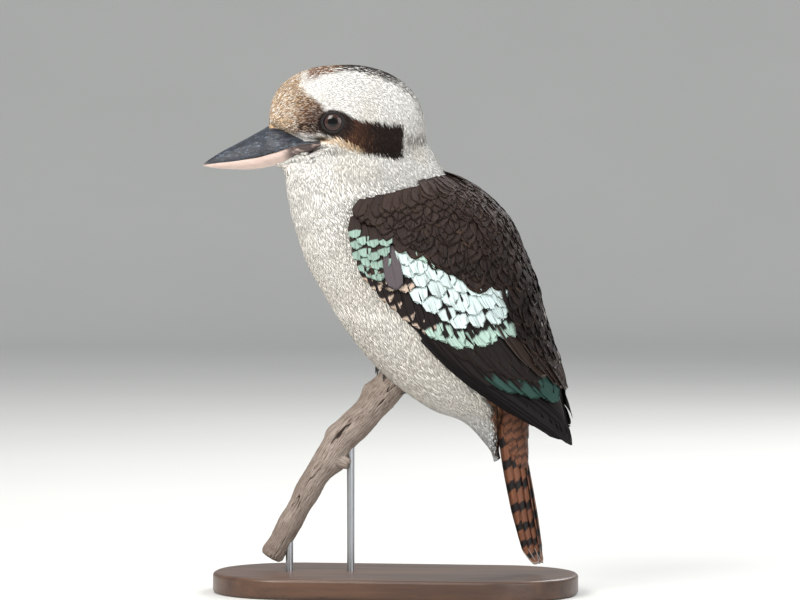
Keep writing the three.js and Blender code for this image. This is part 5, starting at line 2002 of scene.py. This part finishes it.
PERCH = Track([
    [6.3, 0, 154.7, 11.6], [-1, 0, 145, 11.6], [-10, 0.4, 134, 11.2], [-21, 1.2, 121.5, 10.8],
    [-35, 2, 107, 10.9], [-45.5, 1.6, 92, 10], [-56, 0.4, 77, 8.9], [-64, -0.8, 62.5, 8.4],
    [-72, -1, 48, 8.2], [-80, -0.2, 33.5, 8.3], [-86, 0.4, 23.5, 8.3],
])


def carried(path: Array, radii: Array, sides: int) -> Array:
    """Round sections carried along a path.

    The frame at each point is the way along, the way across that is nearest +Y, and their cross product.

    Args:
        path: Points.
        radii: A radius for each point, or for each point and side.
        sides: Points round a section.

    Returns:
        Rings as (points, sides, 3).
    """
    along = unit(np.gradient(path, axis=0))
    right = unit(np.array([0, 1, 0]) - along * along[:, 1:2])
    up = np.cross(along, right)
    a = turns(sides)
    r = np.broadcast_to(np.reshape(radii, (len(path), -1)), (len(path), sides))[..., None]
    return path[:, None] + r * (right[:, None] * np.cos(a)[:, None] + up[:, None] * np.sin(a)[:, None])


@dataclass
class Feet:
    """Legs, toes and claws, gripping the rim of the perch's cut end inside the belly's feathers."""

    apart: float = 7.1
    spread: float = 4.3
    toe: float = 2.1
    wrap: float = 8.5
    claw: float = 7.5

    def over_end(self, out: Array, forward: Array, y: Array) -> Array:
        """Points over the cut end: out along the perch, forward to its rim, and across."""
        end = PERCH.rows[0, :3]
        outward = end - PERCH.rows[2, :3]
        outward[1] = 0
        outward = outward / np.linalg.norm(outward)
        front = np.array([-outward[2], 0, outward[0]])
        points = end + np.outer(out, outward) + np.outer(forward, front)
        points[:, 1] = y
        return points

    def path(self, out: Sequence[float], forward: Sequence[float], y: float, share: Array) -> Array:
        """Points at shares of a curve through places given by how far out and how far forward they lie."""
        return self.over_end(*Track(np.column_stack([out, forward])).along(share).T, np.full(len(share), y))

    def toe_parts(self, y: float, way: int) -> tuple[tuple[Array, Array], tuple[Array, Array]]:
        """Path and radii of one toe, with a swelling at each joint and scutes between, and of its claw."""
        r = self.toe
        rim = math.sqrt(max(PERCH.rows[0, 3] ** 2 - y**2, 9)) * way
        out = r + 0.3
        ahead = [0, rim * 0.7, rim + way * (out + 0.5), rim + way * (out - 0.2)]
        share = np.linspace(0, 1, 60)
        scutes = 1 + 0.05 * np.abs(np.sin(share * 26)) + 0.06 * np.sin(share * 9.5)
        toe = self.path([out + 0.6, out + 0.6, 0.4, -self.wrap], ahead, y, share)
        hook = [rim + way * (out + more) for more in (0.4, 0.9, -1.4)]
        far = np.linspace(0, 1, 30)
        claw = self.path([-self.wrap + 1.5, -self.wrap - 3, -self.wrap - self.claw], hook, y, far)
        return (toe, r * (1.02 - 0.22 * share**2) * scutes), (claw, 1.3 * (1 - far**1.4) + 0.12)

    def build(self) -> None:
        """Makes legs, toes and claws of both sides."""
        hide = HideFinish("toe_scales", (122, 116, 104), 900, 0.55).make()
        horn = HideFinish("claw_horn", (38, 34, 33), 300, 0.3).make()
        for hand, side in SIDES.items():
            y = hand * self.apart
            toes, claws = Body(), Body()
            pad = self.over_end(np.linspace(2.8, 3.2, 20), np.linspace(-4.5, 4.5, 20), np.full(20, y))
            swell = np.sqrt(np.clip(1 - np.linspace(-1, 1, 20) ** 4, 0.02, 1))
            toes.add(*closed_tube(carried(pad, 3.1 * swell, 20)))
            for offset, way in ((0, -1), (-1, 1), (0, 1), (1, 1)):
                toe, claw = self.toe_parts(y + offset * self.spread, way)
                toes.add(*closed_tube(carried(*toe, 20)))
                claws.add(*closed_tube(carried(*claw, 16)))
            toes.wear(f"toes_{side}", hide, "legs", f"foot_{side}")
            claws.wear(f"claws_{side}", horn, "legs")
            ankle = self.over_end(np.array([4.2]), np.array([0.0]), np.array([y]))[0]
            knee = np.array([15, y * 1.6, 184])
            share = np.linspace(0, 1, 40)
            radius = 3.2 * (1 + 0.7 * share**2) * (1 + 0.02 * np.sin(share * 60))
            leg = closed_tube(carried(between((ankle, knee), share[:, None]), radius, 24))
            Body().add(*leg).wear(f"shank_{side}", hide, "legs", f"leg_{side}")


@dataclass
class Perch:
    """The cut length of weathered branch: long cracks, knots and fibres in its surface, and a broken twig."""

    rows: int = 420
    sides: int = 150
    inset: float = 0.35
    knots: Sequence[Sequence[float]] = (
        (0.21, 4.6, 0.045, 0.9), (0.42, 4.5, 0.03, 0.7), (0.5, 1.4, 0.04, 0.6),
    )

    def build(self) -> None:
        """Makes the piece.

        The radius at a share along and an angle round is the branch's own, less cracks, which are narrow
        valleys of a noise drawn out along the branch, plus low bumps and fibres.
        """
        share = np.linspace(0, 1, self.rows)
        row = PERCH.along(share)
        t = share * PERCH.last
        base = row[:, 3] + np.where(t > 2, 0.35 * np.sin(t * 4.1), 0)
        a = turns(self.sides)
        length = 165 * share[:, None]
        drawn = stacked(np.cos(a) * 10, np.sin(a) * 10, length / 7)
        valley = np.abs(GRAIN.rough(drawn + 5, 3.4, 3))
        crack = smooth(0.1, 0.0, valley) * smooth(-0.1, 0.25, GRAIN.at(drawn + 60, 7))
        fibre = GRAIN.rough(stacked(np.cos(a) * 10, np.sin(a) * 10, length / 3) + 30, 1.5, 3)
        bumps = GRAIN.rough(drawn * np.array([1, 1, 6]) + 90, 14, 2)
        swells = [2.4 * self.knot(share[:, None], a[None], *place) for place in self.knots]
        radius = base[:, None] - self.inset - 1.0 * crack + 0.36 * fibre + 0.6 * bumps + sum(swells)
        rim = np.minimum(smooth(0, 0.012, share), smooth(1, 0.988, share))[:, None]
        room = 0.9 + 1.8 * smooth(0.12, 0.17, share)
        radius = np.minimum(radius, (base + room)[:, None]) * (0.9 + 0.1 * rim)
        rings = carried(row[:, :3], radius, self.sides)
        points, faces = closed_tube(rings)
        uv = stacked(length / 10, a / (2 * np.pi) * 6.5)
        uv = np.concatenate([uv.reshape(-1, 2), [[0, 3], [16, 3]]])
        cracks = np.concatenate([crack.ravel(), [0.4, 0.4]])[:, None]
        body = Body().add(points, faces, Bark=uv, Crack=cracks)
        self.twig(body)
        body.wear("perch_wood", BarkFinish().make(), "perch_wood", "perch")

    def knot(self, share: Array, a: Array, at: float, angle: float, long: float, wide: float) -> Array:
        """A round swelling at a place on the branch."""
        away = np.angle(np.exp(1j * (a - angle)))
        return np.exp(-(((share - at) / long) ** 2) - (away / wide) ** 2)

    def twig(self, body: Body) -> None:
        """The stump of a broken twig, ragged at its end."""
        count = 40
        share, a = np.linspace(0, 1, count), turns(count)
        start, stop = np.array([-44, 0, 92]), np.array([-31.5, -3, 87.5])
        path = between((start, stop), share[:, None])
        ring = stacked(np.cos(a) * 6, np.sin(a) * 6, share[:, None] * 3)
        ragged = 1 + 0.16 * GRAIN.rough(ring, 2.4)
        radius = (5.6 - 2.2 * share**2)[:, None] * ragged
        points, faces = closed_tube(carried(path, radius, count))
        uv = np.stack([np.repeat(share * 1.6, count), np.tile(a / 2, count)], -1)
        uv = np.concatenate([uv, [[0, 1], [1.6, 1]]])
        crack = np.concatenate([smooth(-0.3, -0.8, GRAIN.rough(ring, 1.3)).ravel(), [0.5, 0.7]])[:, None]
        body.add(points, faces, Bark=uv, Crack=crack)


@dataclass
class Stand:
    """The oval base and the two rods that carry the perch."""

    length: float = 250
    width: float = 126
    thick: float = 14
    corner: float = 60
    bevel: float = 2.5
    rods: Sequence[Sequence[float]] = ((-73, -1, 46), (-31, 1.8, 111))
    rod_radius: float = 2.6

    def base(self, finish: Material) -> None:
        """The base: a box outline with round corners, carried up a profile rounded above and below."""
        a = turns(480)
        way = stacked(np.cos(a), np.sin(a))
        core = np.array([self.length / 2 - self.corner, self.width / 2 - self.corner])
        centre = np.clip(way * 500, -core, core)
        edge = np.linspace(0, np.pi / 2, 9)
        less_sine, less_cosine = self.bevel * (1 - np.sin(edge)), self.bevel * (1 - np.cos(edge))
        inset = np.concatenate([less_sine, less_cosine])
        height = np.concatenate([less_cosine, self.thick - less_sine])
        inward = np.array([40.0, 20, 8])
        inset = np.concatenate([inward, inset, inward[::-1]])
        height = np.concatenate([np.zeros(3), height, np.full(3, self.thick)])
        radius = np.maximum(self.corner - inset, 1)
        outline = centre[None] + way[None] * radius[:, None, None]
        rings = stacked(outline[..., 0], outline[..., 1], height[:, None])
        Body().add(*closed_tube(rings)).wear("base_board", finish, "stand_wood", "stand_base")

    def rod(self, number: int, finish: Material) -> None:
        """One rod, from inside the base up to the perch."""
        x, y, top = self.rods[number]
        z = np.linspace(self.thick - 7, top - 4, 60)
        a = turns(32)
        rings = stacked(x + self.rod_radius * np.cos(a), y + self.rod_radius * np.sin(a), z[:, None])
        name = f"rod_{number + 1}"
        Body().add(*closed_tube(rings)).wear(name, finish, "stand_rods", f"stand_{name}")

    def build(self) -> None:
        """Makes the base and its rods."""
        self.base(BoardFinish().make())
        steel = SteelFinish().make()
        for number in range(len(self.rods)):
            self.rod(number, steel)


@dataclass(frozen=True)
class Lamp:
    """A soft square lamp that looks at the bird."""

    name: str
    place: tuple[float, float, float]
    size: float
    power: float
    warmth: tuple[float, float, float] = (1, 1, 1)


@dataclass
class Studio:
    """Camera, lamps, sky and the plain pale floor."""

    aim: tuple[float, float, float] = (3.3, 0, 212)
    distance: float = 3000
    elevation: float = 2.0
    lens: float = 198
    drop: float = 12
    lamps: Sequence[Lamp] = (
        Lamp("key", (-1.1, -1.7, 1.7), 1.3, 60, (1, 0.97, 0.93)),
        Lamp("fill", (1.6, -1.5, 0.9), 1.6, 24, (0.95, 0.98, 1)),
        Lamp("rim", (0.9, 1.5, 1.5), 1.0, 29),
        Lamp("top", (-0.2, 0.1, 2.2), 1.2, 19),
    )
    sheet: float = 6200
    flat: float = 3800
    curl: float = 500
    wall: float = 2200

    def camera(self) -> None:
        """The camera at the photograph's angle: a little behind the bird's left side, and almost level."""
        up = math.radians(self.elevation)
        back = Vector((math.sin(TURN) * math.cos(up), -math.cos(TURN) * math.cos(up), math.sin(up)))
        data = bpy.data.cameras.new("camera")
        data.lens, data.sensor_width = self.lens, 36
        data.clip_start, data.clip_end = 0.1, 50
        made = bpy.data.objects.new("camera", data)
        target = Vector([v * MM for v in self.aim]) - Vector((0, 0, self.drop * MM))
        made.location = target + back * self.distance * MM
        made.rotation_euler = (-back).to_track_quat("-Z", "Y").to_euler()
        bpy.context.scene.collection.objects.link(made)
        bpy.context.scene.camera = made

    def light(self) -> None:
        """The lamps and an even sky."""
        for lamp in self.lamps:
            data = bpy.data.lights.new(lamp.name, "AREA")
            data.size, data.energy, data.color = lamp.size, lamp.power, lamp.warmth
            made = bpy.data.objects.new(lamp.name, data)
            made.location = lamp.place
            way = Vector((0, 0, 0.2)) - Vector(lamp.place)
            made.rotation_euler = way.to_track_quat("-Z", "Y").to_euler()
            bpy.context.scene.collection.objects.link(made)
        world = bpy.data.worlds.new("sky")
        world.use_nodes = True
        sky = world.node_tree.nodes["Background"]
        sky.inputs["Color"].default_value = (0.86, 0.89, 0.92, 1)
        sky.inputs["Strength"].default_value = 0.58
        bpy.context.scene.world = world
        bpy.context.scene.view_settings.view_transform = "Standard"

    def floor(self) -> None:
        """A sheet, flat under the bird, that curls up by the square of the distance past its rim."""
        line = np.linspace(-self.sheet, self.sheet, 91)
        past = np.maximum(np.hypot(line[:, None], line[None]) - self.flat, 0) / 1000
        z = np.minimum(past**2 * self.curl, self.wall)
        grid = stacked(line[:, None], line[None], z)
        count = len(line)
        i, j = (n.ravel() for n in np.meshgrid(np.arange(count - 1), np.arange(count - 1), indexing="ij"))
        p = i * count + j
        faces = np.stack([p, p + count, p + count + 1, p, p + count + 1, p + 1], 1).reshape(-1, 3)
        Body().add(grid, faces).make("floor", StudioFinish().make())

    def build(self) -> None:
        """Makes the lamps, the sky and the floor."""
        self.light()
        self.floor()


def main() -> None:
    """Builds the bird from the skin out, then the perch and the stand."""
    studio = Studio()
    studio.camera()
    surface = Skin().build()
    Coat().build(surface)
    vane = VaneFinish().make()
    for hand in (NEAR, FAR):
        Wing(hand).build(vane)
    Tail().build(BarredFinish().make())
    Bill().build()
    Eyes().build()
    Feet().build()
    Perch().build()
    Stand().build()
    studio.build()


if __name__ == "__main__":
    logging.basicConfig(level=logging.INFO, format="%(name)s: %(message)s")
    main()
